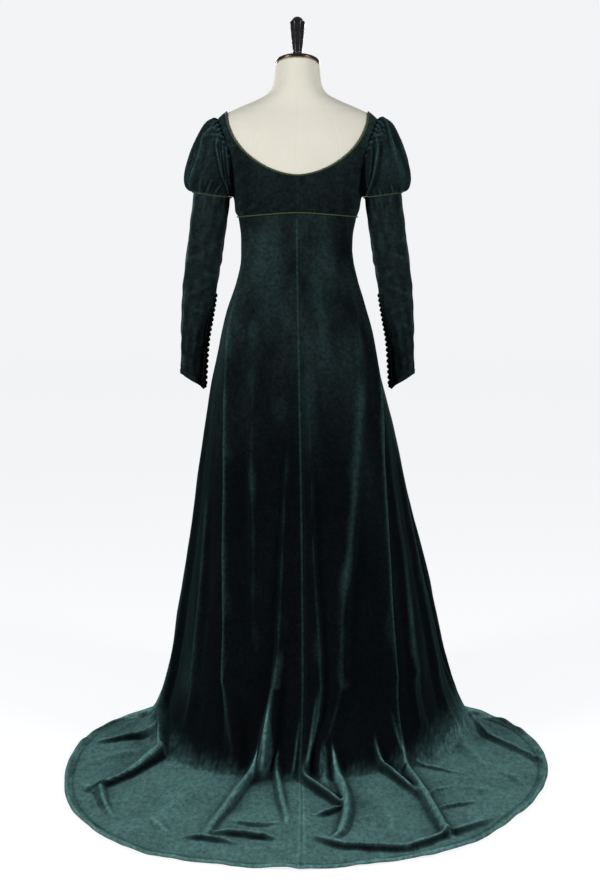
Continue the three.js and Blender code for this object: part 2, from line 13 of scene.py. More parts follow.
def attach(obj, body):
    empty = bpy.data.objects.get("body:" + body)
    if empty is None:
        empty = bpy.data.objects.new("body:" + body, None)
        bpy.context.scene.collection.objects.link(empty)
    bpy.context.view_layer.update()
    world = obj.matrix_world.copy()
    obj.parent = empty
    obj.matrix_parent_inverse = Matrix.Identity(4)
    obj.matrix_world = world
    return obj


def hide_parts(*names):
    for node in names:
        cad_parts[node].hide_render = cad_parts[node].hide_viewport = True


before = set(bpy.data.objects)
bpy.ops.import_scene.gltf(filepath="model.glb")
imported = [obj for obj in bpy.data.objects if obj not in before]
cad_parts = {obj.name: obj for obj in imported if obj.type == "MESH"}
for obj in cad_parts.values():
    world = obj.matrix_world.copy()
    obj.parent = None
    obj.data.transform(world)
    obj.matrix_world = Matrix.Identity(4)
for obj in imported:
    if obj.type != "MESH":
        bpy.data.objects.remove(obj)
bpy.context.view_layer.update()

# ---------------------------------------------------------------- sizes and tables

MM = 0.001
CLOTH = 2.0 * MM  # the wall that the CAD gives the velvet
VELVET = 1.8 * MM  # the wall that is modelled
EASE = 0.5 * MM
SEAM_Z = 1.150
SEAM_ARCH = 0.010  # how much higher the empire seam sits at the centre back
BACK_NECK = (0.158, 1.373, 0.137, 1.8)  # half width, top, depth, roundness
FRONT_NECK = (0.158, 1.373, 0.124, 2.0)
ARMHOLE_Z, ARMHOLE_HIGH, ARMHOLE_DEEP = 1.283, 0.074, 0.052
CUP_ANGLE, CUP_SPREAD, CUP_Z, CUP_HIGH, CUP_LIFT = 152, 20, 1.214, 0.036, 0.015
FILLET_HIGH, FILLET_REACH, FILLET_SHARE = 0.170, 0.080, 0.5  # the skirt's turn onto the floor
LEAST_TRAIN = 0.010  # the shortest length of cloth on the floor
FULL_FOLDS = 0.12  # the length of cloth on the floor that lets folds run their full height
ROLL_HIGH, STITCH_DEEP, STITCH_LINE = 4.5 * MM, 0.9 * MM, 24 * MM  # the hem
NECK_TOP_Z, NECK_TILT = 1.479, 18

# height, side, back, front, squareness, tilt: the dress form
FORM = np.array([
    (0.784, 0.142, 0.106, 0.086, 2.2, 0), (0.800, 0.148, 0.112, 0.090, 2.2, 0),
    (0.860, 0.153, 0.118, 0.097, 2.2, 0), (0.930, 0.141, 0.109, 0.097, 2.2, 0),
    (1.000, 0.119, 0.091, 0.093, 2.2, 0), (1.060, 0.110, 0.082, 0.092, 2.2, 0),
    (1.110, 0.114, 0.085, 0.098, 2.2, 0), (1.150, 0.129, 0.093, 0.107, 2.2, 0),
    (1.185, 0.137, 0.097, 0.112, 2.2, 0), (1.214, 0.144, 0.099, 0.114, 2.3, 0),
    (1.250, 0.156, 0.098, 0.108, 2.3, 0), (1.290, 0.168, 0.094, 0.097, 2.3, 0),
    (1.330, 0.179, 0.084, 0.080, 2.3, 0), (1.352, 0.177, 0.075, 0.069, 2.2, 0),
    (1.372, 0.161, 0.066, 0.060, 2.1, 0), (1.388, 0.130, 0.059, 0.054, 2.0, 0),
    (1.404, 0.092, 0.055, 0.051, 2.0, 0), (1.420, 0.064, 0.053, 0.050, 2.0, 0.05),
    (1.440, 0.053, 0.051, 0.049, 2.0, 0.20), (1.4787, 0.0485, 0.0485, 0.0485, 2.0, 0.325),
])

# height, left, right, back, front, squareness: the skirt's outer face without its folds
SKIRT = np.array([
    (0.000, 0.305, 0.352, 0.425, 0.292, 2.0), (0.100, 0.288, 0.336, 0.402, 0.280, 2.0),
    (0.200, 0.270, 0.315, 0.372, 0.268, 2.0), (0.350, 0.246, 0.281, 0.324, 0.246, 2.0),
    (0.500, 0.226, 0.247, 0.274, 0.222, 2.0), (0.650, 0.207, 0.218, 0.226, 0.198, 2.0),
    (0.800, 0.186, 0.184, 0.178, 0.172, 2.05), (0.900, 0.168, 0.162, 0.145, 0.152, 2.1),
    (0.960, 0.151, 0.145, 0.124, 0.139, 2.1), (1.010, 0.135, 0.130, 0.108, 0.127, 2.15),
    (1.060, 0.126, 0.122, 0.097, 0.117, 2.2), (1.100, 0.126, 0.123, 0.094, 0.112, 2.2),
    (1.150, 0.132, 0.132, 0.096, 0.1115, 2.2),
])

# angle, hem distance from the axis left and right of the centre back
HEM = np.array([
    (0, 1.040, 1.040), (15, 0.998, 0.990), (30, 0.848, 0.849), (45, 0.678, 0.718),
    (60, 0.558, 0.613), (75, 0.480, 0.532), (90, 0.414, 0.465), (105, 0.367, 0.414),
    (120, 0.338, 0.368), (150, 0.309, 0.315), (180, 0.304, 0.304),
])

# height, x, y, half width, half depth, slant: the right sleeve from its band to its cuff
SLEEVE = np.array([
    (0.781, 0.236, 0.028, 0.0275, 0.032, 0.016), (0.828, 0.234, 0.020, 0.029, 0.033, 0.009),
    (0.873, 0.231, 0.012, 0.0305, 0.035, 0.002), (0.918, 0.226, 0.004, 0.034, 0.038, 0.0),
    (0.963, 0.221, -0.002, 0.037, 0.041, 0.0), (1.008, 0.216, -0.005, 0.0385, 0.044, 0.0),
    (1.052, 0.210, -0.005, 0.040, 0.046, 0.0), (1.097, 0.203, -0.004, 0.040, 0.047, 0.0),
    (1.141, 0.197, -0.002, 0.041, 0.048, 0.003), (1.196, 0.190, 0.0, 0.041, 0.049, 0.006),
])
SLEEVE_TOP, SLEEVE_LOW = 1.1957, 0.781
BAND = (0.1905, 0.0, 1.198, 0.0455, 0.053, 0.006)  # where the puff is gathered in
CORD_NECK, CORD_WAIST, CORD_BAND = 2.0 * MM, 1.5 * MM, 1.5 * MM

# ---------------------------------------------------------------- curves


def read(table, k, at):
    """Column k of a table as a smooth curve over its first column, without overshoot."""
    table = np.asarray(table, float)
    x, y = table[:, 0], table[:, k]
    at = np.clip(at, x[0], x[-1])
    step = np.diff(y) / np.diff(x)
    slope = np.concatenate([step[:1], np.zeros(len(x) - 2), step[-1:]])
    before, after = step[:-1], step[1:]
    same = before * after > 0
    slope[1:-1][same] = 2 * before[same] * after[same] / (before + after)[same]
    i = np.clip(np.searchsorted(x, at, side="right") - 1, 0, len(x) - 2)
    width = x[i + 1] - x[i]
    t = (at - x[i]) / width
    rise = t * t * (3 - 2 * t)
    ends = t * (1 - t) ** 2 * width * slope[i] + t * t * (t - 1) * width * slope[i + 1]
    return y[i] + (y[i + 1] - y[i]) * rise + ends


def ease(t):
    """0 up to 0, 1 from 1 on, and a smooth step between."""
    t = np.clip(t, 0, 1)
    return t * t * (3 - 2 * t)


def bell(*shares):
    """1 in the middle of a spot and dying away: each share is a distance over the spot's spread."""
    return np.exp(-sum(share**2 for share in shares))


def turned(angle):
    """The same angle between -180 and 180 degrees."""
    return (np.asarray(angle, float) + 180) % 360 - 180


def spots(rows, angle, place):
    """The sum of soft spots: each an angle and a place, its two spreads and its strength."""
    return sum(strength * bell(turned(angle - at) / wide, (place - down) / tall)
               for at, down, wide, tall, strength in rows)


def fold_at(rows, place):
    """A fold's crest, height and half widths on either side, at places along it."""
    crest, height, one, other = (read(rows, k, place) for k in (1, 2, 3, 4))
    return crest, np.where(place < rows[0][0], 0, height), one, other


def section(angle, side, depth, square):
    """The radius at an angle of a rounded section with these half sizes."""
    a = np.radians(angle)
    return ((abs(np.sin(a)) / side) ** square + (abs(np.cos(a)) / depth) ** square) ** (-1 / square)


def around(angle, radius, z):
    a = np.radians(angle)
    return np.stack([radius * np.sin(a), -radius * np.cos(a), z + 0 * a], -1)


def outward(surface, u, v, du, dv):
    """Unit normals of a surface whose v runs down the cloth, from steps of du and dv."""
    across = surface(u + du, v) - surface(u - du, v)
    down = surface(u, v + dv) - surface(u, v - dv)
    normal = np.cross(down, across)
    return normal / np.maximum(np.linalg.norm(normal, axis=-1, keepdims=True), 1e-12)


def ripples(x, y, length, seed, count=8):
    """Smooth uneven waves about one unit high, the same each time."""
    dice = np.random.default_rng(seed)
    total = np.zeros(np.broadcast(x, y).shape)
    for _ in range(count):
        way, phase = dice.uniform(0, 2 * math.pi, 2)
        k = 2 * math.pi / (length * dice.uniform(0.7, 1.6))
        total += np.sin(k * (x * math.cos(way) + y * math.sin(way)) + phase)
    return total / math.sqrt(count)


# ---------------------------------------------------------------- the body and the gown's surfaces


def form_point(angle, z):
    """The dress form's surface, with two soft cups in front."""
    side = abs(turned(angle))
    depth = np.where(side < 90, read(FORM, 2, z), read(FORM, 3, z))
    square = read(FORM, 4, z)
    cup = bell((side - CUP_ANGLE) / CUP_SPREAD, (z - CUP_Z) / CUP_HIGH)
    radius = section(angle, read(FORM, 1, z), depth, square) + CUP_LIFT * cup
    point = around(angle, radius, z)
    point[..., 2] -= point[..., 1] * read(FORM, 5, z)
    return point


def over_form(angle, z, distance):
    normal = outward(form_point, angle, z, 0.5, -0.0005)
    return form_point(angle, z) + normal * np.asarray(distance)[..., None]


def body_side(y, z, distance):
    """How far out the body reaches at a point of its side view."""
    side = read(FORM, 1, z) + distance
    depth = distance + np.where(y < 0, read(FORM, 2, z), read(FORM, 3, z))
    square = read(FORM, 4, z)
    return side * (1 - np.minimum(1, abs(y) / depth) ** square) ** (1 / square)


def neck_height(angle):
    """The height at which the neckline crosses an angle round the body."""
    angle = np.asarray(angle, float)
    back = abs(turned(angle)) < 90
    half, top, depth, roundness = (np.where(back, b, f) for b, f in zip(BACK_NECK, FRONT_NECK))
    below, above = top - depth, top + 0.020
    for _ in range(30):
        z = (below + above) / 2
        down = np.clip((top - z) / depth, 0, 1)
        neck = half * (1 - down ** roundness) ** (1 / roundness)
        outside = abs(form_point(angle, z)[..., 0]) > neck
        below, above = np.where(outside, z, below), np.where(outside, above, z)
    return above


def seam_height(angle):
    """The empire seam, which arches up over the back."""
    back = np.cos(np.radians(angle))
    return SEAM_Z + SEAM_ARCH * np.where(back > 0, back ** 2, 0) - 0.002


def skirt_radius(angle, z):
    """The skirt's radius at an angle and a height, without its folds."""
    side = turned(angle)
    wide = np.where(side < 0, read(SKIRT, 1, z), read(SKIRT, 2, z))
    deep = np.where(abs(side) < 90, read(SKIRT, 3, z), read(SKIRT, 4, z))
    return section(angle, wide, deep, read(SKIRT, 5, z))


def hem_radius(angle):
    side = turned(angle)
    return np.where(side < 0, read(HEM, 1, abs(side)), read(HEM, 2, abs(side)))


def spare_cloth(angle):
    """How much cloth lies on the floor past the foot of the skirt."""
    return hem_radius(angle) - skirt_radius(angle, 0 * angle)


def from_hem(angle, v):
    """How far up the cloth a place lies from its hem."""
    return (3 - v) * np.maximum(spare_cloth(angle) - FILLET_REACH, LEAST_TRAIN)


def smooth_skirt(angle, v):
    """The skirt without folds: v is 0 to 1 down to the fillet, to 2 round it, to 3 at the hem."""
    angle, v = np.broadcast_arrays(np.asarray(angle, float), np.asarray(v, float))
    reach = np.minimum(FILLET_REACH, FILLET_SHARE * spare_cloth(angle))
    turn = np.radians(90) * np.clip(v - 1, 0, 1)
    hanging = SEAM_Z + (FILLET_HIGH - SEAM_Z) * v
    z = np.where(v <= 1, hanging, FILLET_HIGH + (CLOTH - FILLET_HIGH) * np.sin(turn))
    radius = skirt_radius(angle, np.minimum(z, SEAM_Z)) + reach * (1 - np.cos(turn))
    lying = np.clip(v - 2, 0, 2)
    radius = radius + (hem_radius(angle) - radius) * lying
    return around(angle, radius, z)


# ---------------------------------------------------------------- folds of the skirt

# Hanging folds. Each row of a fold: v, angle of its crest, height and half widths to the left and
# to the right, in millimetres. A narrow side falls away steeply.
FLUTES = [
    [(0.10, -70, 1, 20, 30), (0.35, -56, 8, 16, 40), (0.56, -42, 12, 15, 42),
     (0.72, -34.5, 14, 15, 44), (0.92, -27.2, 16, 16, 46), (1.05, -24.5, 16, 17, 46),
     (1.40, -20, 12, 22, 44), (1.75, -17, 0, 30, 40)],
    [(0.22, -38, 0, 26, 26), (0.39, -29.8, 6, 24, 26), (0.55, -24, 8, 22, 26),
     (0.71, -19, 7, 22, 26), (0.95, -15, 0, 22, 26)],
    [(0.40, -5, 0, 16, 20), (0.58, -5.8, 7, 10, 24), (0.71, -6, 9, 12, 26),
     (0.91, -6.2, 12, 13, 24), (1.03, -7.3, 26, 12, 16), (1.34, -8.2, 33, 24, 16),
     (1.65, -8.7, 24, 32, 16), (1.86, -9.2, 9, 36, 20), (2.02, -10, 0, 36, 22)],
    [(0.18, 8, 0, 24, 12), (0.35, 7, 4, 26, 12), (0.53, 6.8, 7, 26, 12), (0.71, 6.5, 9, 24, 12),
     (0.93, 7.2, 11, 24, 13), (1.20, 6.0, 12, 24, 13), (1.63, 2.6, 12, 20, 12),
     (2.0, 1.5, 0, 20, 14)],
    [(0.06, 58, 0, 40, 40), (0.37, 44.2, 10, 40, 36), (0.55, 30.2, 14, 42, 34),
     (0.71, 22, 16, 42, 32), (0.87, 15.5, 15, 34, 32), (1.15, 12, 11, 28, 36),
     (1.50, 8, 12, 34, 40), (1.95, 7, 0, 34, 34)],
    [(0.08, 86, 1, 40, 22), (0.38, 66.5, 10, 46, 14), (0.56, 51.8, 13, 46, 15),
     (0.73, 43, 15, 48, 15), (0.93, 35.8, 17, 48, 16), (1.20, 32.5, 18, 46, 17),
     (1.60, 30, 14, 40, 20), (2.05, 27, 0, 36, 26)],
    [(0.42, 70, 0, 30, 30), (0.60, 60, 6, 28, 30), (0.78, 54, 9, 26, 32), (0.96, 47, 12, 24, 34),
     (1.25, 43, 11, 26, 34), (1.80, 41, 0, 26, 34)],
    [(0.48, 86, 0, 30, 24), (0.66, 76, 9, 30, 22), (0.83, 69, 12, 32, 22), (1.00, 66, 14, 34, 22),
     (1.40, 62, 12, 34, 26), (2.00, 60, 0, 34, 26)],
    [(0.30, -92, 0, 30, 34), (0.60, -80, 9, 26, 38), (0.85, -74, 14, 24, 34),
     (1.10, -70, 19, 24, 26), (1.39, -64, 22, 24, 18), (1.59, -52, 26, 28, 18),
     (1.85, -44.5, 26, 32, 17), (2.05, -41.5, 20, 32, 17), (2.30, -39, 12, 30, 12),
     (2.50, -38, 0, 28, 14)],
    [(0.55, -62, 0, 26, 26), (0.80, -50, 8, 24, 28), (0.98, -45, 10, 22, 30),
     (1.30, -42, 6, 24, 30), (1.60, -40, 0, 24, 30)],
    [(0.15, -112, 0, 34, 30), (0.50, -106, 10, 34, 26), (0.90, -100, 17, 34, 24),
     (1.50, -97, 14, 34, 26), (2.40, -95, 0, 34, 30)],
    [(0.20, -138, 0, 34, 34), (0.60, -134, 11, 30, 36), (1.00, -130, 16, 28, 38),
     (1.80, -129, 8, 28, 38), (2.60, -128, 2, 30, 38)],
    [(0.12, -162, 0, 30, 30), (0.50, -158, 9, 32, 26), (1.00, -155, 15, 34, 24),
     (1.80, -154, 9, 34, 26), (2.70, -154, 2, 34, 26)],
    [(0.10, 172, 0, 34, 30), (0.45, 174, 8, 34, 28), (1.00, 177, 15, 36, 26),
     (1.80, 177, 8, 36, 26), (2.70, 177, 2, 36, 26)],
    [(0.18, 142, 0, 30, 34), (0.60, 145, 10, 28, 36), (1.00, 148, 16, 26, 38),
     (1.80, 149, 9, 26, 38), (2.70, 149, 2, 26, 38)],
    [(0.22, 118, 0, 34, 34), (0.60, 120, 11, 34, 30), (1.00, 122, 17, 36, 28),
     (1.80, 122, 9, 36, 28), (2.60, 122, 2, 36, 28)],
    [(0.20, 104, 0, 30, 30), (0.55, 98, 10, 32, 24), (0.90, 94, 15, 34, 22),
     (1.50, 91, 13, 34, 24), (2.30, 90, 0, 34, 26)],
]

# Folds of the cloth on the floor, seen from above. Each: its points as x, y and height in
# millimetres, half widths to the left and right of its run in millimetres, how crisp its crest is
# (2 soft, 1.2 crisp), how far it leans over to its right, and how strong the painted shade is on
# one side (left of its run below 0, right above 0).
TRAIN_FOLDS = [
    ([(-292, -330, 14), (-306, -368, 15), (-330, -420, 14), (-362, -480, 15), (-402, -553, 12),
      (-428, -582, 0)], 15, 24, 1.5, -0.2, -0.95),
    ([(-395, -540, 4), (-398, -570, 12), (-385, -640, 11), (-356, -737, 0)], 12, 16, 1.6, -0.1,
     0.4),
    ([(-440, -520, 0), (-425, -560, 9), (-400, -600, 0)], 14, 14, 1.6, 0, -0.6),
    ([(-290, -140, 6), (-320, -162, 13), (-380, -178, 14), (-448, -197, 0)], 24, 26, 1.6, -0.2,
     -0.9),
    ([(-80, -398, 8), (-86, -425, 20), (-98, -480, 21), (-115, -553, 19), (-140, -690, 15),
      (-166, -826, 8), (-176, -872, 0)], 13, 18, 1.6, -0.2, -0.35),
    ([(-40, -425, 8), (-43, -452, 18), (-38, -520, 15), (-30, -640, 12), (-20, -760, 6),
      (-23, -802, 0)], 9, 12, 1.4, 0.1, 0.4),
    ([(-132, -764, 0), (-95, -780, 7), (-60, -786, 6), (-30, -778, 0)], 16, 13, 1.6, 0.1, 0.4),
    ([(-166, -832, 0), (-130, -838, 9), (-100, -842, 11), (-60, -852, 10), (-36, -868, 0)], 16, 20,
     1.5, 0.1, 0.95),
    ([(-212, -850, 0), (-186, -862, 9), (-140, -884, 8), (-110, -892, 0)], 18, 18, 1.5, 0.1, 0.9),
    ([(6, -440, 8), (14, -492, 15), (40, -548, 16), (66, -600, 15), (88, -650, 10), (106, -700, 0)],
     16, 20, 1.5, 0.1, 0.9),
    ([(30, -735, 0), (48, -716, 9), (74, -690, 10), (94, -674, 2)], 16, 16, 1.5, 0.1, 0.8),
    ([(66, -405, 8), (77, -447, 20), (92, -530, 20), (100, -628, 20), (97, -730, 17),
      (84, -832, 10), (62, -866, 0)], 14, 14, 1.6, 0.1, -0.35),
    ([(50, -405, 10), (54, -440, 18), (56, -500, 7), (60, -560, 0)], 16, 16, 2, 0, 0),
    ([(30, -838, 0), (60, -880, 8), (92, -908, 10), (148, -924, 11), (200, -926, 10),
      (266, -862, 9), (344, -778, 6), (376, -738, 0)], 28, 21, 1.5, 0, 0.95),
    ([(158, -365, 12), (170, -395, 22), (190, -430, 19), (214, -500, 13), (240, -568, 7),
      (256, -610, 0)], 14, 19, 1.5, 0.15, 0.9),
    ([(214, -345, 6), (222, -376, 17), (238, -470, 18), (255, -587, 18), (268, -710, 17),
      (283, -842, 12), (292, -882, 0)], 14, 15, 1.6, 0.1, 0.35),
    ([(240, -366, 1), (290, -404, 7), (345, -446, 1)], 16, 14, 1.6, 0.1, 0.6),
    ([(268, -690, 0), (290, -672, 6), (320, -654, 7), (362, -630, 0)], 15, 15, 1.6, 0.1, 0.7),
    ([(250, -640, 0), (276, -560, 5), (330, -520, 0)], 14, 14, 1.8, 0, 0.4),
    ([(392, 40, 4), (410, -60, 8), (425, -150, 9), (470, -250, 8), (517, -345, 5), (528, -370, 0)],
     22, 22, 1.6, 0.1, 0.75),
    ([(500, -330, 2), (516, -346, 8), (508, -372, 2)], 14, 12, 1.8, 0, 0.4),
    ([(-300, -690, 0), (-262, -790, 5), (-228, -852, 0)], 16, 14, 1.8, 0, 0),
    ([(330, -150, 1), (360, -230, 5), (382, -330, 4), (400, -420, 0)], 36, 30, 2, 0, 0.3),
    ([(-330, -250, 1), (-375, -300, 4), (-430, -350, 2)], 36, 26, 2, 0, -0.3),
    ([(-210, -520, 0), (-240, -620, 4), (-262, -720, 3), (-280, -800, 0)], 46, 36, 2, 0, 0),
    ([(160, -620, 0), (176, -740, 4), (180, -830, 2)], 36, 32, 2, 0, 0.2),
    ([(330, -520, 0), (380, -560, 4), (420, -600, 1)], 32, 26, 2, 0, 0.2),
    ([(420, -420, 0), (450, -470, 5), (470, -560, 0)], 20, 18, 1.8, 0, 0.3),
]

# Broad swells of the hanging cloth: angle, v, spread in degrees and in v, height in mm.
SWELLS = [
    (-32, 0.20, 16, 0.10, 6), (-8, 0.31, 9, 0.06, -7), (18, 0.14, 9, 0.08, 5),
    (-14, 0.12, 8, 0.06, -4), (40, 0.22, 12, 0.10, -5), (62, 0.30, 12, 0.12, 5),
    (-68, 0.25, 14, 0.12, 4), (10, 0.75, 8, 0.15, -4), (-3, 1.55, 5, 0.24, -18),
    (3.5, 1.60, 4, 0.22, -16), (24, 1.70, 4, 0.20, -14), (-14, 1.6, 3, 0.2, -12),
]

CENTRE_SEAM = [(0, 1.2), (0.35, 2.2), (0.70, 2.5), (1.0, 2.2), (1.7, 1.2), (3, 0.4)]  # v, angle


FLUTE_CRISPNESS = 1.7


def fold_profile(aside, crispness):
    """A fold's height as a share: 1 on its crest, 0 one half width aside."""
    return np.where(aside < 1, (1 - np.minimum(aside, 1) ** crispness) ** 2, 0)


def flute_height(angle, v, radius):
    total = MM * spots(SWELLS, angle, v)
    for rows in FLUTES:
        crest, height, left, right = fold_at(rows, v)
        across = np.radians(turned(angle - crest)) * radius
        side = np.where(across < 0, left, right) * MM
        total = total + height * MM * fold_profile(abs(across) / side, FLUTE_CRISPNESS)
    return total


def beside_fold(points, left, right, x, y):
    """How far points lie from a fold as a share of its half width, on which side, its height and
    the way to its right."""
    line = np.array(points, float) * MM
    best = np.full(np.shape(x), 1e9)
    height, hand, way = np.zeros(np.shape(x)), np.zeros(np.shape(x)), np.zeros(np.shape(x) + (2,))
    for a, b in zip(line[:-1], line[1:]):
        run = b[:2] - a[:2]
        length = np.hypot(*run)
        t = np.clip(((x - a[0]) * run[0] + (y - a[1]) * run[1]) / length**2, 0, 1)
        off_x, off_y = x - a[0] - t * run[0], y - a[1] - t * run[1]
        over = (off_x * run[1] - off_y * run[0]) / length
        apart = np.hypot(off_x, off_y) / (np.where(over > 0, right, left) * MM)
        nearer = apart < best
        best = np.where(nearer, apart, best)
        height = np.where(nearer, a[2] + (b[2] - a[2]) * t, height)
        hand = np.where(nearer, np.sign(over), hand)
        way = np.where(nearer[..., None], np.array([run[1], -run[0]]) / length, way)
    return best, hand, height, way


def train_shift(x, y):
    """How far the cloth on the floor rises, and leans aside, at points seen from above."""
    rise = np.zeros(np.shape(x))
    aside = np.zeros(np.shape(x) + (2,))
    for points, left, right, crispness, lean, _ in TRAIN_FOLDS:
        apart, _, height, way = beside_fold(points, left, right, x, y)
        lift = height * fold_profile(apart, crispness)
        rise += lift
        aside += way * (lift * lean)[..., None]
    return rise, aside


def train_marks(x, y):
    """Where painted shade lies beside the folds on the floor, and painted highlights on their
    crests.
    """
    shade, painted_highlight = np.zeros(np.shape(x)), np.zeros(np.shape(x))
    for points, left, right, _, _, dark in TRAIN_FOLDS:
        apart, hand, height, _ = beside_fold(points, left, right, x, y)
        share = np.clip(height / 0.009, 0, 1)
        dark_side = hand * np.sign(dark) > 0
        side = ease((apart - 0.02) / 0.24) * ease((1.15 - apart) / 0.70) * dark_side
        shade = np.maximum(shade, abs(dark) * share * side)
        painted_highlight = np.maximum(painted_highlight, share * ease((0.42 - apart) / 0.34) * ~dark_side)
    return shade, painted_highlight


def skirt_cloth(angle, v):
    """The outer face of the skirt and train with all their folds."""
    base = smooth_skirt(angle, v)
    normal = outward(smooth_skirt, angle, v, 0.5, 0.01)
    x, y, z = base[..., 0], base[..., 1], base[..., 2]
    radius = np.hypot(x, y)
    arc = np.radians(turned(angle)) * radius
    spare = spare_cloth(angle)
    room = np.where(v > 1, 1 + (np.clip(spare / FULL_FOLDS, 0.12, 1) - 1) * ease(v - 1), 1)
    lift = flute_height(angle, v, radius) * room
    hanging = ease(v / 0.15)
    lift += 0.0014 * hanging * ripples(arc, z * 0.35, 0.11, 3)
    lift += 0.0004 * hanging * ripples(arc, z * 0.5, 0.035, 4)
    point = base + normal * lift[..., None]
    broad = ease((spare - 0.03) / 0.15) * ease((v - 1.25) / 0.45)
    rise, aside = train_shift(x, y)
    rise = rise + 0.0030 * np.maximum(0.5 + 0.5 * ripples(x, y, 0.26, 5), 0)
    rise = rise + 0.0005 * (1 + ripples(x, y, 0.075, 6))
    point[..., 2] += rise * broad
    point[..., :2] += aside * broad[..., None]
    return point


def hem_roll(point, angle, v):
    """The turned-up hem: a soft roll at the edge with a line of stitches behind it."""
    inside = from_hem(angle, v)
    wave = 1 + 0.5 * ripples(point[..., 0], point[..., 1], 0.09, 8)
    point[..., 2] += ROLL_HIGH * wave * bell((inside - 0.006) / 0.006)
    point[..., 2] -= STITCH_DEEP * bell((inside - STITCH_LINE) / 0.0022)
    point[..., 2] -= 0.0008 * ease(1 - inside / 0.003)
    point[..., 2] = np.maximum(point[..., 2], CLOTH - 0.0001)
    return point


# ---------------------------------------------------------------- making meshes


def deselect():
    bpy.ops.object.select_all(action="DESELECT")


def only(piece):
    deselect()
    piece.select_set(True)
    bpy.context.view_layer.objects.active = piece


@contextmanager
def editing(piece):
    """Edit mode on one piece with all of it selected."""
    only(piece)
    bpy.ops.object.mode_set(mode="EDIT")
    bpy.ops.mesh.select_all(action="SELECT")
    yield
    bpy.ops.object.mode_set(mode="OBJECT")


def corners(piece):
    flat = np.empty(len(piece.data.vertices) * 3)
    piece.data.vertices.foreach_get("co", flat)
    return flat.reshape(-1, 3)


def put_corners(piece, points):
    piece.data.vertices.foreach_set("co", np.asarray(points, float).ravel())
    piece.data.update()


def cloth_grid(name, columns, rows, surface):
    """A sheet whose corners lie at surface(u, v); u runs across, v up the cloth, both 0 to 1."""
    deselect()
    bpy.ops.mesh.primitive_grid_add(x_subdivisions=columns, y_subdivisions=rows, size=1)
    piece = bpy.context.object
    piece.name = piece.data.name = name
    places = corners(piece) + 0.5
    put_corners(piece, surface(places[:, 0], places[:, 1]))
    bpy.ops.object.shade_smooth()
    return piece


def grid_places(columns, rows):
    """u and v of each corner of a cloth grid, in the order of its corners."""
    u, v = np.meshgrid(np.linspace(0, 1, columns + 1), np.linspace(0, 1, rows + 1))
    return u.ravel(), v.ravel()


def thicken(piece, wall=VELVET):
    only(piece)
    shell = piece.modifiers.new("wall", "SOLIDIFY")
    shell.thickness = wall
    shell.offset = -1
    bpy.ops.object.modifier_apply(modifier="wall")
    bpy.ops.object.shade_smooth()


def close_seams(piece, gap=0.00002, outside=True):
    """Merges points closer than the gap, then turns all faces outwards."""
    with editing(piece):
        bpy.ops.mesh.remove_doubles(threshold=gap)
        if outside:
            bpy.ops.mesh.normals_make_consistent(inside=False)
    return piece


def join(name, pieces):
    only(pieces[0])
    for piece in pieces:
        piece.select_set(True)
    bpy.ops.object.join()
    pieces[0].name = pieces[0].data.name = name
    return pieces[0]


def flip_faces(piece):
    with editing(piece):
        bpy.ops.mesh.flip_normals()


def mirror(piece):
    """The piece turned over to the other side of the body, its faces still outwards."""
    put_corners(piece, corners(piece) * (-1, 1, 1))
    flip_faces(piece)


def smooth_loop(points, count):
    """Evenly spaced points round a closed line, and its length."""
    line = np.asarray(points, float)
    line = np.vstack([line, line[:1]])
    run = np.concatenate([[0], np.cumsum(np.linalg.norm(np.diff(line, axis=0), axis=1))])
    at = np.linspace(0, run[-1], count + 1)
    return np.stack([np.interp(at, run, line[:, k]) for k in range(3)], -1), run[-1]


CORD_PITCH, CORD_PROUD = 8 * MM, 0.16  # how often a strand comes round, how far it stands out


def cord_piece(name, points, radius, count, sides=10, strands=3):
    """A twisted cord round a closed line of points; strands of 0 leaves it plain."""
    line, length = smooth_loop(points, count)
    ahead = np.roll(line[:-1], -1, 0) - np.roll(line[:-1], 1, 0)
    ahead = np.vstack([ahead, ahead[:1]])
    ahead /= np.linalg.norm(ahead, axis=1, keepdims=True)
    side = np.cross(ahead, [0, 0, 1.0])
    upright = np.linalg.norm(side, axis=1, keepdims=True) < 1e-3
    side = np.where(upright, np.cross(ahead, [0, 1.0, 0]), side)
    side /= np.linalg.norm(side, axis=1, keepdims=True)
    up = np.cross(side, ahead)
    turns = round(length / CORD_PITCH / strands) if strands else 0

    def surface(u, v):
        i = np.rint(u * count).astype(int)
        spin = 2 * math.pi * v
        thick = radius * np.ones_like(u)
        if strands:
            strand = abs(np.cos((spin - 2 * math.pi * turns * u) * strands / 2))
            thick = radius * (1 + CORD_PROUD * (strand - 0.64))  # 0.64 is the mean of a strand
        across = np.cos(spin)[:, None] * side[i] + np.sin(spin)[:, None] * up[i]
        return line[i] + across * thick[:, None]

    return close_seams(cloth_grid(name, count, sides, surface))


# ---------------------------------------------------------------- finishes


def connect(tree, node, **inputs):
    """Sets a node's inputs: a socket is linked, anything else is its value."""
    for name, value in inputs.items():
        socket = node.inputs[name.replace("_", " ")]
        if isinstance(value, bpy.types.NodeSocket):
            tree.links.new(value, socket)
        else:
            socket.default_value = value
    return node


def add_node(tree, kind, **inputs):
    return connect(tree, tree.nodes.new(f"ShaderNode{kind}"), **inputs)


def finish(name, **inputs):
    material = bpy.data.materials.new(name)
    material.use_nodes = True
    tree = material.node_tree
    return material, tree, connect(tree, tree.nodes["Principled BSDF"], **inputs)


def speckle(tree, scale, detail=3.0, stretch=(1, 1, 1), rough=0.55):
    """Noise on the piece's own coordinates."""
    place = add_node(tree, "TexCoord").outputs["Object"]
    turn = add_node(tree, "Mapping", Vector=place, Scale=stretch).outputs["Vector"]
    noise = add_node(tree, "TexNoise", Vector=turn, Scale=scale, Detail=detail, Roughness=rough)
    return noise.outputs["Fac"]


def grey(value):
    return (value,) * 3


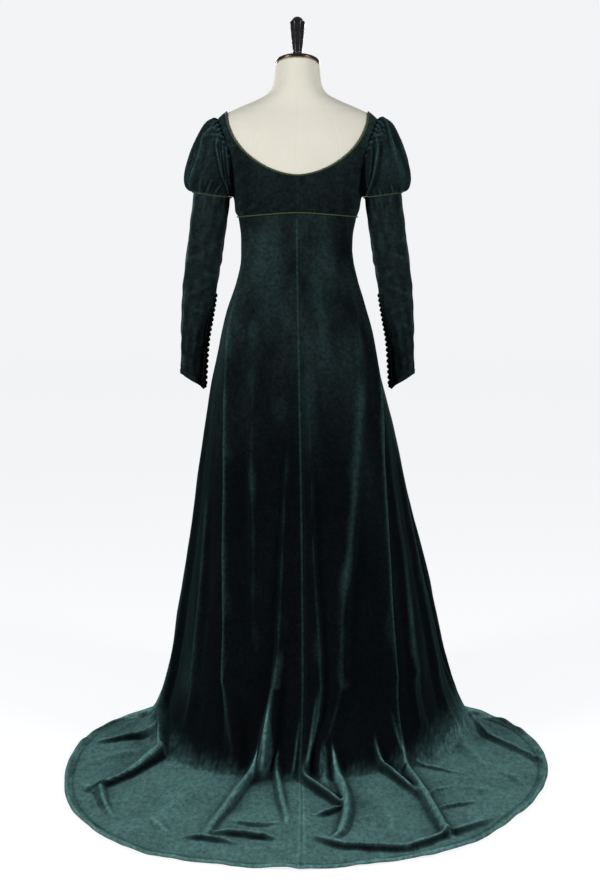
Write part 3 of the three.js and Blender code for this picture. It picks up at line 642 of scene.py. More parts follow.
def ramp(tree, value, *stops):
    """Colours by value, from (place, colour) stops."""
    node = add_node(tree, "ValToRGB", Fac=value)
    elements = node.color_ramp.elements
    while len(elements) < len(stops):
        elements.new(0.5)
    for element, (place, colour) in zip(elements, stops):
        element.position = place
        element.color = (*colour, 1)
    return node.outputs["Color"]


def blended(tree, kind, a, b):
    """Colours a and b added or multiplied."""
    node = add_node(tree, "Mix")
    node.data_type = "RGBA"
    node.blend_type = kind
    node.inputs[0].default_value = 1.0
    tree.links.new(a, node.inputs[6])
    tree.links.new(b, node.inputs[7])
    return node.outputs[2]


def bumps(tree, shader, *layers):
    """Stacks (height, strength, distance) layers of fine relief on the shader."""
    before = {}
    for height, strength, distance in layers:
        node = add_node(tree, "Bump", Height=height, Strength=strength, Distance=distance, **before)
        before = {"Normal": node.outputs["Normal"]}
    connect(tree, shader, **before)


FULL_SHEEN_COLOUR = (0.092, 0.200, 0.193)  # painted sheen at its fullest, as where the cloth lies fully on the floor
HALF_SHEEN_COLOUR = (0.019, 0.043, 0.042)
SHEEN_TINT = (0.42, 0.92, 0.88, 1)
PILE_SCALE, PILE_STRETCH, PILE_ROUGH = 130, (1, 0.4, 1), 0.75  # the velvet's short flattened tufts


def velvet_finish(name, dark, light, low, high, least=0.0, crush=0.30):
    """Velvet: near black where it hangs, with a painted sheen in teal where the cloth lies on the
    floor and a real sheen where it turns away. Patches of painted light grow between two heights,
    lighter higher up."""
    material, tree, shader = finish(name, Metallic=0.0, Sheen_Weight=0.16, Sheen_Roughness=0.38,
                                    Sheen_Tint=SHEEN_TINT, Specular_IOR_Level=0.03)
    place = add_node(tree, "SeparateXYZ", Vector=add_node(tree, "TexCoord").outputs["Object"])
    # Painted light: lighter higher up, from the dark colour to the light one between two heights,
    # in random patches.
    up = add_node(tree, "MapRange", Value=place.outputs["Z"], From_Min=low, From_Max=high,
                  To_Min=least, To_Max=1.0)
    light_patches = add_node(tree, "MapRange", Value=speckle(tree, 9, 5, (1, 1, 0.45), 0.6),
                       From_Min=0.36, From_Max=0.76)
    share = add_node(tree, "Math")
    share.operation = "MULTIPLY"
    tree.links.new(up.outputs["Result"], share.inputs[0])
    tree.links.new(light_patches.outputs["Result"], share.inputs[1])
    painted_highlight = ramp(tree, share.outputs["Value"], (0.0, dark), (1.0, light))
    # Painted light from the points: a painted sheen in teal where the cloth lies on the floor,
    # painted highlights on crests and painted shade in valleys and on faces turned towards -Y.
    painted_light = add_node(tree, "Attribute")
    painted_light.attribute_name = "painted_light"
    lying = ramp(tree, painted_light.outputs["Fac"],
                 (0.0, grey(0)), (0.5, HALF_SHEEN_COLOUR), (1.0, FULL_SHEEN_COLOUR))
    cloth = blended(tree, "ADD", painted_highlight, lying)
    patches = ramp(tree, speckle(tree, 9, 5, rough=0.6), (0.30, grey(0.80)), (0.70, grey(1.16)))
    pile = speckle(tree, PILE_SCALE, 6, PILE_STRETCH, PILE_ROUGH)
    grain = ramp(tree, pile, (0.34, grey(0.46)), (0.66, grey(1.52)))
    mottled = blended(tree, "MULTIPLY", patches, grain)
    rub = ramp(tree, speckle(tree, 18), (0.3, grey(0.78)), (0.7, grey(0.95)))
    connect(tree, shader, Base_Color=blended(tree, "MULTIPLY", cloth, mottled), Roughness=rub)
    crushed = speckle(tree, 34, 5, (1, 1, 0.6))
    bumps(tree, shader, (crushed, crush, 2.2 * MM), (pile, 0.75, 1.4 * MM),
          (speckle(tree, 900, 2), 0.30, 0.3 * MM))
    return material


# One velvet in four copies: the dark and light colours differ by piece as painted light and shade,
# each piece lighter or darker by how the light falls on it.
velvet = velvet_finish("bottle_green_velvet", (0.0014, 0.0021, 0.0030), (0.0185, 0.0330, 0.0335),
                       0.62, 1.10)
velvet_bodice = velvet_finish("bodice_velvet", (0.0040, 0.0066, 0.0078), (0.0140, 0.0245, 0.0250),
                              1.16, 1.34, 0.10, 0.18)
velvet_sleeve = velvet_finish("sleeve_velvet", (0.0050, 0.0080, 0.0090), (0.0098, 0.0170, 0.0178),
                              0.86, 1.28, 0.30, 0.12)
velvet_puff = velvet_finish("puff_velvet", (0.0024, 0.0038, 0.0046), (0.0090, 0.0160, 0.0165),
                            1.16, 1.34, 0.40, 0.15)


def linen_finish():
    material, tree, shader = finish("form_linen", Specular_IOR_Level=0.2, Sheen_Weight=0.12,
                                    Sheen_Roughness=0.5, Roughness=0.88)
    tone = ramp(tree, speckle(tree, 9), (0.3, (0.655, 0.636, 0.548)), (0.7, (0.682, 0.662, 0.574)))
    slub = ramp(tree, speckle(tree, 420, stretch=(1, 1, 0.25)),
                (0.35, grey(0.985)), (0.65, grey(1.01)))
    connect(tree, shader, Base_Color=blended(tree, "MULTIPLY", tone, slub))
    place = add_node(tree, "TexCoord").outputs["Object"]
    threads = []
    for direction in ("X", "Z"):
        wave = add_node(tree, "TexWave", Vector=place, Scale=260, Distortion=0.6)
        wave.bands_direction = direction
        threads.append((wave.outputs["Fac"], 0.12, 0.2 * MM))
    bumps(tree, shader, *threads, (speckle(tree, 45), 0.05, 0.6 * MM))
    return material


def hard_finish(name, dark, light, metal, low, high, grain, stretch=(1, 1, 1), relief=0.0,
                coat=0.0):
    """A hard surface between two colours and two roughnesses, with a fine grain."""
    material, tree, shader = finish(name, Metallic=metal, Coat_Weight=coat, Coat_Roughness=0.08)
    tone = ramp(tree, speckle(tree, grain), (0.35, dark), (0.7, light))
    rub = ramp(tree, speckle(tree, grain * 2.5, 4, stretch), (0.3, grey(low)), (0.72, grey(high)))
    connect(tree, shader, Base_Color=tone, Roughness=rub)
    if relief:
        bumps(tree, shader, (speckle(tree, grain * 6, 3, stretch), 0.3, relief))
    return material


linen = linen_finish()
lacquer = hard_finish("black_lacquer", (0.006, 0.006, 0.007), (0.010, 0.010, 0.012),
                      0.0, 0.24, 0.36, 30, coat=0.12)
polish = hard_finish("collar_chrome", (0.62, 0.62, 0.63), (0.72, 0.72, 0.73),
                     1.0, 0.10, 0.22, 90, (1, 1, 8))
copper = hard_finish("ring_copper", (0.22, 0.115, 0.060), (0.40, 0.23, 0.13),
                     0.55, 0.28, 0.48, 60, (1, 1, 6))
pole_steel = hard_finish("pole_steel", (0.055, 0.056, 0.058), (0.085, 0.086, 0.088),
                         1.0, 0.32, 0.50, 50, (1, 1, 0.1), 0.4 * MM)
base_paint = hard_finish("base_paint", (0.030, 0.031, 0.032), (0.050, 0.051, 0.052),
                         0.2, 0.42, 0.62, 120, relief=0.4 * MM)
cord_olive = hard_finish("olive_cord", (0.018, 0.031, 0.008), (0.046, 0.068, 0.019),
                         0.0, 0.60, 0.85, 260, relief=0.3 * MM)


def place_piece(piece, material, slot, *nodes):
    """Gives a piece its finish and lets it stand for CAD nodes."""
    piece.data.materials.clear()
    piece.data.materials.append(material)
    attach(piece, "root")
    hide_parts(*nodes)
    return piece


# ---------------------------------------------------------------- the dress form

FORM_SEAMS = (0, -48, 48, 180, -138, 138)
NECK_SEAM_Z = 1.428
GROOVE_WIDE, GROOVE_DEEP = 0.7 * MM, 0.4 * MM
SEAM_RADIUS = 0.075  # a middling radius of the form, which turns its angles into widths


def form_columns():
    """Angles round the form, closer together beside its seams."""
    beside = np.array([-1.6, -1.0, -0.6, -0.3, 0, 0.3, 0.6, 1.0, 1.6])
    close = np.concatenate([seam + beside for seam in FORM_SEAMS])
    open_places = np.arange(-178, 180, 4.0)
    far = [a for a in open_places if min(abs(turned(a - s)) for s in FORM_SEAMS) > 2.5]
    angles = np.sort(turned(np.concatenate([close, far])))
    return np.append(angles, angles[0] + 360)


def form_rows():
    """Heights up the form, closer together at the neck and its seam."""
    beside = NECK_SEAM_Z + np.array([-2, -1, -0.5, 0.5, 1, 2]) * MM
    rows = [np.linspace(FORM[0, 0], 1.33, 46), np.linspace(1.34, FORM[-1, 0], 46), beside]
    return np.unique(np.round(np.concatenate(rows), 5))


def form_torso():
    """The padded form with grooves along its seams, closed below and at the neck."""
    angles, heights = form_columns(), form_rows()
    last = len(heights) + 1

    def surface(u, v):
        angle = angles[np.rint(u * (len(angles) - 1)).astype(int)]
        row = np.rint(v * last).astype(int)
        z = heights[np.clip(row - 1, 0, len(heights) - 1)]
        widths = (np.radians(turned(angle - seam)) * SEAM_RADIUS for seam in FORM_SEAMS)
        seams = sum(bell(width / GROOVE_WIDE) for width in widths)
        ring = bell((z - NECK_SEAM_Z) / GROOVE_WIDE)
        point = over_form(angle, z, -GROOVE_DEEP * np.clip(seams + 1.4 * ring, 0, 1.4))
        middle = (form_point(0 * angle, z) + form_point(0 * angle + 180, z)) / 2
        return np.where(((row == 0) | (row == last))[:, None], middle, point)

    return close_seams(cloth_grid("dress_form", len(angles) - 1, last, surface), 0.00001)


def tilt_to_neck(piece):
    """Turns a piece made upright on z = 0 so that it stands on the sloping neck."""
    lean = Matrix.Rotation(-math.radians(NECK_TILT), 4, "X")
    piece.data.transform(Matrix.Translation((0, 0, NECK_TOP_Z)) @ lean)
    return piece


def turned_piece(name, profile, steps=96):
    """A solid of revolution: an outline of radii and heights in mm, spun about the upright axis."""
    deselect()
    bpy.ops.mesh.primitive_plane_add(size=0.01)
    piece = bpy.context.object
    piece.name = piece.data.name = name
    with editing(piece):
        bpy.ops.mesh.delete(type="VERT")
    points = [(r * MM, 0, z * MM) for r, z in profile]
    piece.data.from_pydata(points, [(i, i + 1) for i in range(len(points) - 1)], [])
    with editing(piece):
        bpy.ops.mesh.spin(steps=steps, angle=2 * math.pi, center=(0, 0, 0), axis=(0, 0, 1))
    close_seams(piece, 0.00001)
    bpy.ops.object.shade_smooth_by_angle(angle=math.radians(32))
    return piece


# Outlines of the neck's fittings: radius and height above the neck's end, in mm.
CAP_RIM = 49.3
NECK_CAP = [
    (0, 4.0), (CAP_RIM - 2, 4.0), (CAP_RIM - 0.6, 4.5), (CAP_RIM, 5.6), (CAP_RIM, 8.6),
    (CAP_RIM - 0.5, 9.6), (46, 11.6), (42, 13.5), (35, 15.6), (28, 17), (20, 18.2), (12, 18.9),
    (0, 19),
]
NECK_RING = [
    (0, 0.4), (46, 0.4), (48.9, -2.2), (49.1, -1.6), (49.1, 3.0), (48.7, 3.5), (47.6, 3.8),
    (0, 3.8),
]
FINIAL_COLLAR = [
    (0, 19.3), (10.6, 19.3), (11.6, 20), (12, 21.6), (11.4, 23), (10.3, 24.2), (10, 25.4),
    (10.2, 26.4), (9.6, 27.6), (8.8, 28), (0, 28),
]
FINIAL = [
    (0, 28.3), (8, 28.3), (10, 28.8), (10.6, 31), (10.3, 33), (11, 36), (12.6, 50), (14.2, 66),
    (15.6, 82), (16.7, 95), (17.6, 98), (18, 99.5), (17.4, 101), (15.2, 102), (14.4, 104),
    (12.6, 107.6), (9.6, 110.8), (6, 113.2), (3, 114.5), (0, 115),
]


def finial_piece():
    """A fluted knob, wider towards its top, closed by a low petalled dome."""
    knob = turned_piece("neck_finial", FINIAL)
    points = corners(knob)
    z = points[:, 2] / MM
    angle = np.arctan2(points[:, 1], points[:, 0])
    shaft = ease((z - 33) / 4) * ease((99.5 - z) / 2)
    petals = ease((z - 101) / 3) * ease((116 - z) / 8)
    facet = np.cos(math.pi / 8) / np.cos((angle + math.pi / 8) % (math.pi / 4) - math.pi / 8)
    flute = 1 + (facet * 1.03 - 1) * shaft - 0.09 * petals * (1 - abs(np.cos(angle * 4)))
    points[:, :2] *= flute[:, None]
    put_corners(knob, points)
    return knob


def neck_fittings():
    for piece, material, slot, node in (
        (turned_piece("neck_cap", NECK_CAP), lacquer, "lacquer", "form_neck_cap"),
        (turned_piece("neck_ring", NECK_RING), copper, "brass", "form_neck_ring"),
        (turned_piece("finial_collar", FINIAL_COLLAR, 64), polish, "collar", "form_finial_collar"),
        (finial_piece(), lacquer, "lacquer", "form_finial"),
    ):
        place_piece(tilt_to_neck(piece), material, slot, node)


def dress_form():
    place_piece(form_torso(), linen, "linen", "form_torso")
    neck_fittings()
    for node, material in (("stand_pole", pole_steel), ("stand_base", base_paint)):
        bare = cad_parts[node]
        bare.data.materials.clear()
        bare.data.materials.append(material)


# ---------------------------------------------------------------- the bodice

SIDE_TUCK = 2.2 * MM  # how far a side seam draws the cloth in
ARMHOLE_CUT = 0.97


def bodice_wrinkles(angle, z):
    """Soft drag lines below the arms and a little fullness above the seam."""
    side = abs(turned(angle))
    low = ease((1.20 - z) / 0.05)
    lines = np.sin(np.radians(side) * 19 + z * 30) * ease((side - 30) / 30) * (0.35 + 0.65 * low)
    broad = ripples(np.radians(side) * 0.13, z, 0.045, 21)
    small = low * ripples(np.radians(angle) * 0.1, z, 0.03, 22)
    free = ease((z - seam_height(angle)) / 0.014)
    return free * (0.0016 * lines + 0.0007 * broad + 0.0011 * small)


def bodice_panel(name, first, last, node):
    """A bodice panel between two angles, from the empire seam up, less its armholes."""
    columns, rows = 150, 64

    def surface(u, v):
        angle = first + (last - first) * u
        bottom, top = seam_height(angle) - 0.001, neck_height(angle) + 0.0022
        z = bottom + (top - bottom) * v
        edge = np.minimum(u, 1 - u) * abs(last - first)
        proud = EASE + VELVET + 0.0006 + np.clip(bodice_wrinkles(angle, z) + 0.0008, 0, 0.004)
        return over_form(angle, z, proud - SIDE_TUCK * bell(edge / 1.1))

    piece = cloth_grid(name, columns, rows, surface)
    # Painted highlights on the crests of the bodice's wrinkles.
    paint_crest_light(piece, columns, rows, 0.6 * MM, 0.10)
    points = corners(piece)
    arm = ((points[:, 2] - ARMHOLE_Z) / ARMHOLE_HIGH) ** 2 + (points[:, 1] / ARMHOLE_DEEP) ** 2
    with editing(piece):
        bpy.ops.mesh.select_mode(type="VERT")
        bpy.ops.mesh.select_all(action="DESELECT")
        bpy.ops.object.mode_set(mode="OBJECT")
        for vertex, share in zip(piece.data.vertices, arm):
            vertex.select = bool(share < ARMHOLE_CUT)
        bpy.ops.object.mode_set(mode="EDIT")
        bpy.ops.mesh.delete(type="VERT")
    thicken(piece)
    return place_piece(piece, velvet_bodice, "velvet", node)


# ---------------------------------------------------------------- the skirt


def panel_rows(*spans):
    """Rows down a panel from (first, last, count) spans that share their ends."""
    rows = [np.linspace(first, last, count)[1:] for first, last, count in spans]
    return np.concatenate([[0.0], *rows])


BACK_ROWS = panel_rows((0, 0.12, 10), (0.12, 1, 56), (1, 2, 50), (2, 2.93, 104), (2.93, 3, 15))
FRONT_ROWS = panel_rows((0, 0.12, 14), (0.12, 1, 84), (1, 2, 26), (2, 3, 16))

# Painted highlights on the lit faces of the folds above the train: angle and v of the tip and of
# the foot, half width of the foot in mm, strength.
BLADES = [
    (-65, 1.36, -41.5, 2.05, 15, 0.58), (-7.4, 1.02, -9.4, 2.0, 26, 0.36),
    (-11.6, 1.45, -11.5, 2.1, 14, 0.7), (0.4, 1.18, -1.8, 1.95, 8, 0.34),
    (6.0, 0.98, 2.0, 1.75, 8, 0.36), (9.5, 1.48, 10.5, 2.1, 18, 0.55),
    (6.2, 1.50, 6.6, 1.95, 15, 0.30), (23.0, 1.42, 25.5, 2.1, 17, 0.5),
    (29.4, 1.22, 30.0, 1.9, 8, 0.38),
]

# Painted sheen on the hanging cloth, and painted shadow where the strength is below 0: angle, v,
# spread in degrees and in v, strength.
SHINE = [
    (-42, 0.10, 14, 0.06, 0.17), (-26, 0.17, 9, 0.07, 0.10), (37, 0.09, 12, 0.06, 0.16),
    (24, 0.19, 8, 0.08, 0.09), (-34, 0.33, 7, 0.12, 0.07), (20, 0.30, 7, 0.12, 0.08),
    (8, 0.40, 4, 0.12, 0.13), (64, 0.16, 12, 0.08, 0.05), (-70, 0.22, 14, 0.12, 0.08),
    (40, 0.52, 8, 0.20, 0.06), (-50, 1.10, 7, 0.14, 0.12), (150, 0.20, 20, 0.12, 0.12),
    (-150, 0.24, 20, 0.12, 0.12), (110, 0.5, 12, 0.2, 0.08), (-115, 0.6, 12, 0.2, 0.08),
    (-10.0, 2.02, 1.0, 0.035, -0.9), (-2.6, 1.97, 1.1, 0.04, -0.9), (8.0, 1.98, 0.8, 0.03, -0.5),
    (28, 1.99, 1.2, 0.03, -0.8),
]

# angle, v at which the painted sheen of the lying cloth begins
SHEEN_START = np.array([
    (-180, 0.98), (-90, 1.12), (-65, 1.32), (-50, 1.42), (-25, 1.58), (0, 1.64), (25, 1.56),
    (40, 1.44), (60, 1.30), (90, 1.24), (120, 1.06), (180, 0.98),
])


LYING_SHEEN, CREST_HIGHLIGHT = 0.76, 0.42  # how strong the painted sheen of the lying cloth is, and the painted highlight on a crest and painted shade in a valley beside it


def store_painted_light(piece, painted_light):
    """Keeps the painted light and shade, 0 to 1, on the points of a piece."""
    layer = piece.data.attributes.new("painted_light", "FLOAT", "POINT")
    layer.data.foreach_set("value", np.clip(painted_light, 0, 1).astype(np.float32))


def proudness(piece, columns, rows):
    """How far each point of a cloth grid stands proud of those round it; valleys are below 0."""
    grid = corners(piece).reshape(rows + 1, columns + 1, 3)
    normal = np.array([n.vector for n in piece.data.vertex_normals]).reshape(grid.shape)
    total = np.zeros(grid.shape[:2])
    for reach in (1, 2, 3):
        wide = np.pad(grid, ((reach, reach), (reach, reach), (0, 0)), mode="edge")
        inner = slice(reach, -reach)
        beside = wide[inner, : -2 * reach] + wide[inner, 2 * reach :]
        above = wide[: -2 * reach, inner] + wide[2 * reach :, inner]
        total += ((grid - (beside + above) / 4) * normal).sum(-1) / 3
    return total.ravel(), normal.reshape(-1, 3)


def paint_crest_light(piece, columns, rows, full, strength, least=0.0, extra=0.0):
    """Painted highlights on the crests of small folds and a little painted shade in their valleys:
    full is the proudness that takes the most highlight.
    """
    proud, _ = proudness(piece, columns, rows)
    store_painted_light(piece, least + extra + strength * np.clip(proud / full, -0.3, 1))


def blade_light(angle, v, radius, painted_light):
    """Adds painted highlights on the lit faces of the folds above the train, each with a bright
    left edge.
    """
    for tip, tip_v, foot, foot_v, half, strength in BLADES:
        along = np.clip((v - tip_v) / (foot_v - tip_v), 0, 1.1)
        across = np.radians(turned(angle - tip - (foot - tip) * along)) * radius
        wide = half * MM * along
        face = ease((wide - abs(across)) / (0.003 + 0.004 * along)) * ease((1.06 - along) / 0.3)
        line = bell((across + wide - 0.004) / 0.0025) * ease((1.06 - along) / 0.2)
        painted_light = np.maximum(painted_light, (strength * face + 0.22 * line) * ease(along / 0.3))
    return painted_light


def paint_skirt_light(piece, columns, rows, angle, v, edge):
    """Painted light: a painted sheen where the cloth lies, painted highlights on crests and seams,
    painted shade in valleys and on faces turned to -Y.
    """
    proud, normal = proudness(piece, columns, rows)
    points = corners(piece)
    radius = np.hypot(points[:, 0], points[:, 1])
    arc = np.radians(turned(angle)) * radius
    streaks = ripples(arc + v * 0.03, v * 0.06, 0.011, 51)
    streaks += 0.8 * ripples(arc + v * 0.02, v * 0.05, 0.045, 52)
    lying = ease((v - read(SHEEN_START, 1, turned(angle)) + 0.035 * streaks) / 0.46) ** 1.3
    inside = from_hem(angle, v)
    # Painted shade on the faces of the floor cloth turned towards -Y, but not on the hem's edge.
    facing_shade = ease((-normal[:, 1] - 0.08) / 0.55) * ease((v - 1.7) / 0.3)
    facing_shade *= ease((inside - 0.006) / 0.006)
    base = smooth_skirt(angle, v)
    # Painted shade beside the train's folds and painted highlights on their crests.
    shade, painted_highlight = train_marks(base[:, 0], base[:, 1])
    on_floor = ease((v - 1.6) / 0.4)
    # Painted sheen where the cloth lies on the floor.
    painted_light = LYING_SHEEN * lying * (1 - 0.6 * facing_shade) * (1 - shade * on_floor) + 0.25 * painted_highlight * on_floor
    # Painted highlight on the hem roll and painted shade along the line of stitches.
    painted_light += lying * (0.14 * bell((inside - 0.008) / 0.005) - 0.22 * bell((inside - 0.023) / 0.004))
    # Painted sheen, and painted shadow at the feet of the folds.
    painted_light += spots(SHINE, angle, v)
    # Painted highlight beside the seams, strongest left of the centre seam and on the floor.
    left = turned(angle) < read(CENTRE_SEAM, 1, v)
    seam = np.where(left, 0.26, 0.03) * np.where(abs(angle) < 20, 1, 0.4)
    seam = seam * ease(v / 0.03) + 0.26 * ease((v - 1.8) / 0.4)
    painted_light += seam * bell((edge - 0.0032) / 0.0020)
    painted_light = blade_light(angle, v, radius, painted_light)
    # Painted highlights on crests and painted shade in the valleys of the lying cloth.
    crest = np.clip((proud - 0.00025) / 0.0019, 0, 1)
    painted_light += CREST_HIGHLIGHT * crest * ease(v / 0.1) * ease((edge - 0.006) / 0.004)
    painted_light -= CREST_HIGHLIGHT * np.clip((-proud - 0.0004) / 0.0022, 0, 1) * lying
    store_painted_light(piece, painted_light)


SEAM_TUCK = 2.6 * MM  # how far a skirt seam draws the cloth in


def column_angle(start, end, share):
    """Angles across a panel, closer together where the train is long."""
    places = np.linspace(0, 1, 61)
    first, last = np.mean(start), np.mean(end)
    reach = hem_radius(first + (last - first) * places)
    passed = np.concatenate([[0], np.cumsum((reach[1:] + reach[:-1]) / 2)])
    return start + (end - start) * np.interp(share, passed / passed[-1], places)


def skirt_panel(name, first, last, columns, rows, node):
    """One panel between two angles, where 0 stands for the centre-back seam. Its edges turn in
    and its hem is rolled."""
    steps = len(rows) - 1

    def places(u, v):
        """The angle, the place down the cloth and the angle to the nearer seam."""
        down = rows[np.rint((1 - v) * steps).astype(int)]
        start, end = (at or read(CENTRE_SEAM, 1, down) for at in (first, last))
        angle = column_angle(start, end, u)
        return angle, down, np.radians(np.minimum(abs(angle - start), abs(end - angle)))

    def surface(u, v):
        angle, down, aside = places(u, v)
        point = hem_roll(skirt_cloth(angle, down), angle, down)
        point[:, 2] += (seam_height(angle) + 0.0030 - SEAM_Z) * ease(1 - down / 0.16)
        edge = aside * np.hypot(point[:, 0], point[:, 1])
        tuck = SEAM_TUCK * bell(edge / 0.0045) * ease((down - 0.015) / 0.08)
        tuck *= 1 - 0.95 * ease(down - 1)
        point -= outward(smooth_skirt, angle, down, 0.5, 0.01) * tuck[:, None]
        point[:, 2] = np.maximum(point[:, 2], VELVET + 0.0001)
        return point

    piece = cloth_grid(name, columns, steps, surface)
    angle, down, aside = places(*grid_places(columns, steps))
    edge = aside * np.hypot(*corners(piece)[:, :2].T)
    # Painted light and shade kept on the skirt's points.
    paint_skirt_light(piece, columns, steps, angle, down, edge)
    thicken(piece)
    put_corners(piece, np.maximum(corners(piece), (-np.inf, -np.inf, 0)))
    return place_piece(piece, velvet, "velvet", node)


# ---------------------------------------------------------------- the sleeves


def sleeve_ring(size, angle):
    """A slanted oval round the arm; angle 0 is the outside, 90 the back."""
    x, y, z, wide, deep, slant = size
    a = np.radians(angle)
    return np.stack([x + wide * np.cos(a), y - deep * np.sin(a), z + slant * np.cos(a)], -1)


def armhole_point(angle):
    a = np.radians(angle)
    y, z = -ARMHOLE_DEEP * np.sin(a), ARMHOLE_Z + ARMHOLE_HIGH * np.cos(a)
    return np.stack([body_side(y, z, EASE + VELVET), y, z], -1)


def puff_point(angle, along):
    """The puff from the armhole (0) to the band (1), fuller on the outside of the arm."""
    a = np.radians(angle)
    outer = np.cos(a / 2) ** 2
    start, end = armhole_point(angle), sleeve_ring(BAND, angle)
    rise = np.stack([0 * a, -np.sin(a), np.cos(a)], -1)
    past = np.stack([np.cos(a), -np.sin(a), 0 * a], -1)
    above = start + rise * (0.002 + 0.046 * outer)[:, None]
    above[:, 0] += 0.004 + 0.011 * outer
    below = end + past * (0.005 + 0.045 * outer)[:, None]
    below[:, 2] += 0.004 + 0.008 * outer
    t = np.clip(along, 0, 1)[:, None]
    middle = 3 * (1 - t) ** 2 * t * above + 3 * (1 - t) * t * t * below
    return (1 - t) ** 3 * start + middle + t**3 * end


# Folds of each puff. Rows of a fold: how far along the puff, angle of its crest, height in mm, half
# widths in degrees towards the outside and towards the body. Negative heights are tucks.
HIDDEN_FOLDS = [
    [(0.05, -26, 0, 8, 8), (0.25, -34, 7, 8, 11), (0.60, -50, 8, 9, 16), (0.85, -58, 5, 9, 14),
     (1.0, -60, 1, 8, 8)],
    [(0.08, -60, 0, 7, 7), (0.30, -80, 6, 8, 9), (0.55, -110, 8, 10, 10), (0.80, -130, 3, 10, 9),
     (1.0, -136, 1, 8, 8)],
    [(0.42, -8, 0, 9, 8), (0.60, -14, 5, 12, 8), (0.82, -22, 5, 12, 8), (1.0, -26, 2, 8, 7)],
    [(0.62, -66, 0, 6, 6), (0.85, -66, 5, 6, 7), (1.0, -66, 3, 5, 5)],
    [(0.66, -90, 0, 6, 6), (0.86, -92, 5, 6, 7), (1.0, -92, 3, 5, 5)],
    [(0.10, 178, 0, 9, 9), (0.50, 176, 6, 12, 12), (0.90, 176, 4, 12, 12), (1.0, 176, 1, 9, 9)],
]
PUFF_FOLDS = {
    "left": HIDDEN_FOLDS + [
        [(0.08, 46, 0, 6, 9), (0.22, 37, 8, 6, 10), (0.36, 35, 9, 7, 12), (0.45, 42, 9, 7, 14),
         (0.58, 46, 10, 8, 14), (0.83, 41, 9, 8, 12), (0.98, 40, 3, 6, 8)],
        [(0.10, 52, 0, 6, 7), (0.26, 63, 6, 7, 7), (0.36, 80, 7, 9, 7), (0.46, 98, 8, 10, 8),
         (0.58, 122, 8, 10, 8), (0.80, 142, 3, 10, 8)],
        [(0.04, 72, 0, 6, 6), (0.12, 84, 4, 8, 6), (0.24, 104, 6, 10, 7), (0.40, 128, 6, 10, 7),
         (0.70, 150, 2, 10, 8)],
        [(0.08, 60, 0, 5, 6), (0.20, 72, -4, 5, 6), (0.34, 94, -5, 6, 8), (0.50, 118, -5, 7, 8),
         (0.70, 136, -2, 8, 8)],
        [(0.20, 24, 0, 8, 7), (0.40, 28, -4, 8, 6), (0.62, 36, -4, 8, 6), (0.85, 31, -4, 8, 6),
         (1.0, 30, 0, 8, 6)],
        [(0.10, 4, 0, 8, 8), (0.30, 11, 4, 9, 8), (0.60, 19, 5, 9, 8), (0.85, 18, 5, 9, 8),
         (1.0, 18, 1, 8, 8)],
        [(0.70, 62, 0, 6, 6), (0.86, 64, 5, 6, 6), (1.0, 64, 3, 5, 5)],
        [(0.60, 84, 0, 6, 6), (0.82, 82, 5, 7, 6), (1.0, 81, 3, 5, 5)],
        [(0.55, 108, 0, 6, 6), (0.78, 101, 5, 7, 7), (1.0, 97, 2, 5, 5)],
    ],
    "right": HIDDEN_FOLDS + [
        [(0.03, 4, 0, 6, 8), (0.17, 14, 7, 6, 8), (0.28, 28, 9, 7, 9), (0.39, 39, 7, 8, 10),
         (0.60, 46, 0, 9, 12)],
        [(0.05, 0, 0, 6, 6), (0.20, 5, 6, 7, 6), (0.32, 11, 9, 8, 7), (0.45, 18.5, 8, 9, 8),
         (0.66, 24, 0, 10, 10)],
        [(0.10, 6, 0, 4, 5), (0.25, 16, -5, 4, 5), (0.36, 25, -5, 5, 5), (0.50, 30, 0, 6, 6)],
        [(0.12, 56, 0, 9, 5), (0.26, 66, 9, 12, 7), (0.38, 82, 12, 16, 8), (0.55, 106, 13, 18, 9),
         (0.75, 132, 9, 16, 9), (0.95, 148, 3, 10, 8)],
        [(0.12, 66, 0, 5, 8), (0.27, 79, -7, 6, 12), (0.40, 101, -9, 8, 14),
         (0.60, 128, -7, 8, 14), (0.80, 150, -2, 8, 10)],
        [(0.35, 10, 0, 9, 9), (0.60, 18, 5, 10, 12), (0.85, 22, 6, 9, 12), (1.0, 24, 2, 8, 8)],
        [(0.74, 72, 0, 6, 6), (0.88, 70, 5, 7, 7), (1.0, 70, 3, 5, 5)],
        [(0.74, 100, 0, 6, 6), (0.90, 98, 5, 7, 7), (1.0, 98, 2, 5, 5)],
        [(0.80, 46, 0, 6, 6), (0.92, 46, 4, 6, 6), (1.0, 46, 3, 5, 5)],
    ],
}
# Small tucks at the head of a puff: angle, turn to one side, length along, height in mm.
HEAD_TUCKS = [
    (8, 6, 0.20, 3.5), (20, 10, 0.24, 4.5), (31, 10, 0.22, 4.5), (41, 8, 0.20, 4.5),
    (51, 4, 0.20, 4), (61, -3, 0.18, 4), (71, -4, 0.16, 3.5), (81, -4, 0.15, 3), (92, -2, 0.14, 3),
    (-8, -6, 0.2, 4), (-22, -6, 0.22, 4), (-36, -4, 0.2, 4), (-50, 2, 0.2, 4), (-64, 3, 0.18, 4),
    (-78, 3, 0.16, 3),
]
# Painted sheen on the puffs: angle, how far along, spread in degrees and along, strength.
PUFF_SHINE = {
    "left": [
        (62, 0.62, 12, 0.20, 0.05), (24, 0.70, 9, 0.25, 0.04), (48, 0.20, 24, 0.09, 0.07),
    ],
    "right": [
        (42, 0.62, 16, 0.20, 0.19), (70, 0.48, 9, 0.14, 0.10), (48, 0.20, 20, 0.08, 0.14),
        (100, 0.78, 16, 0.1, 0.08),
    ],
}


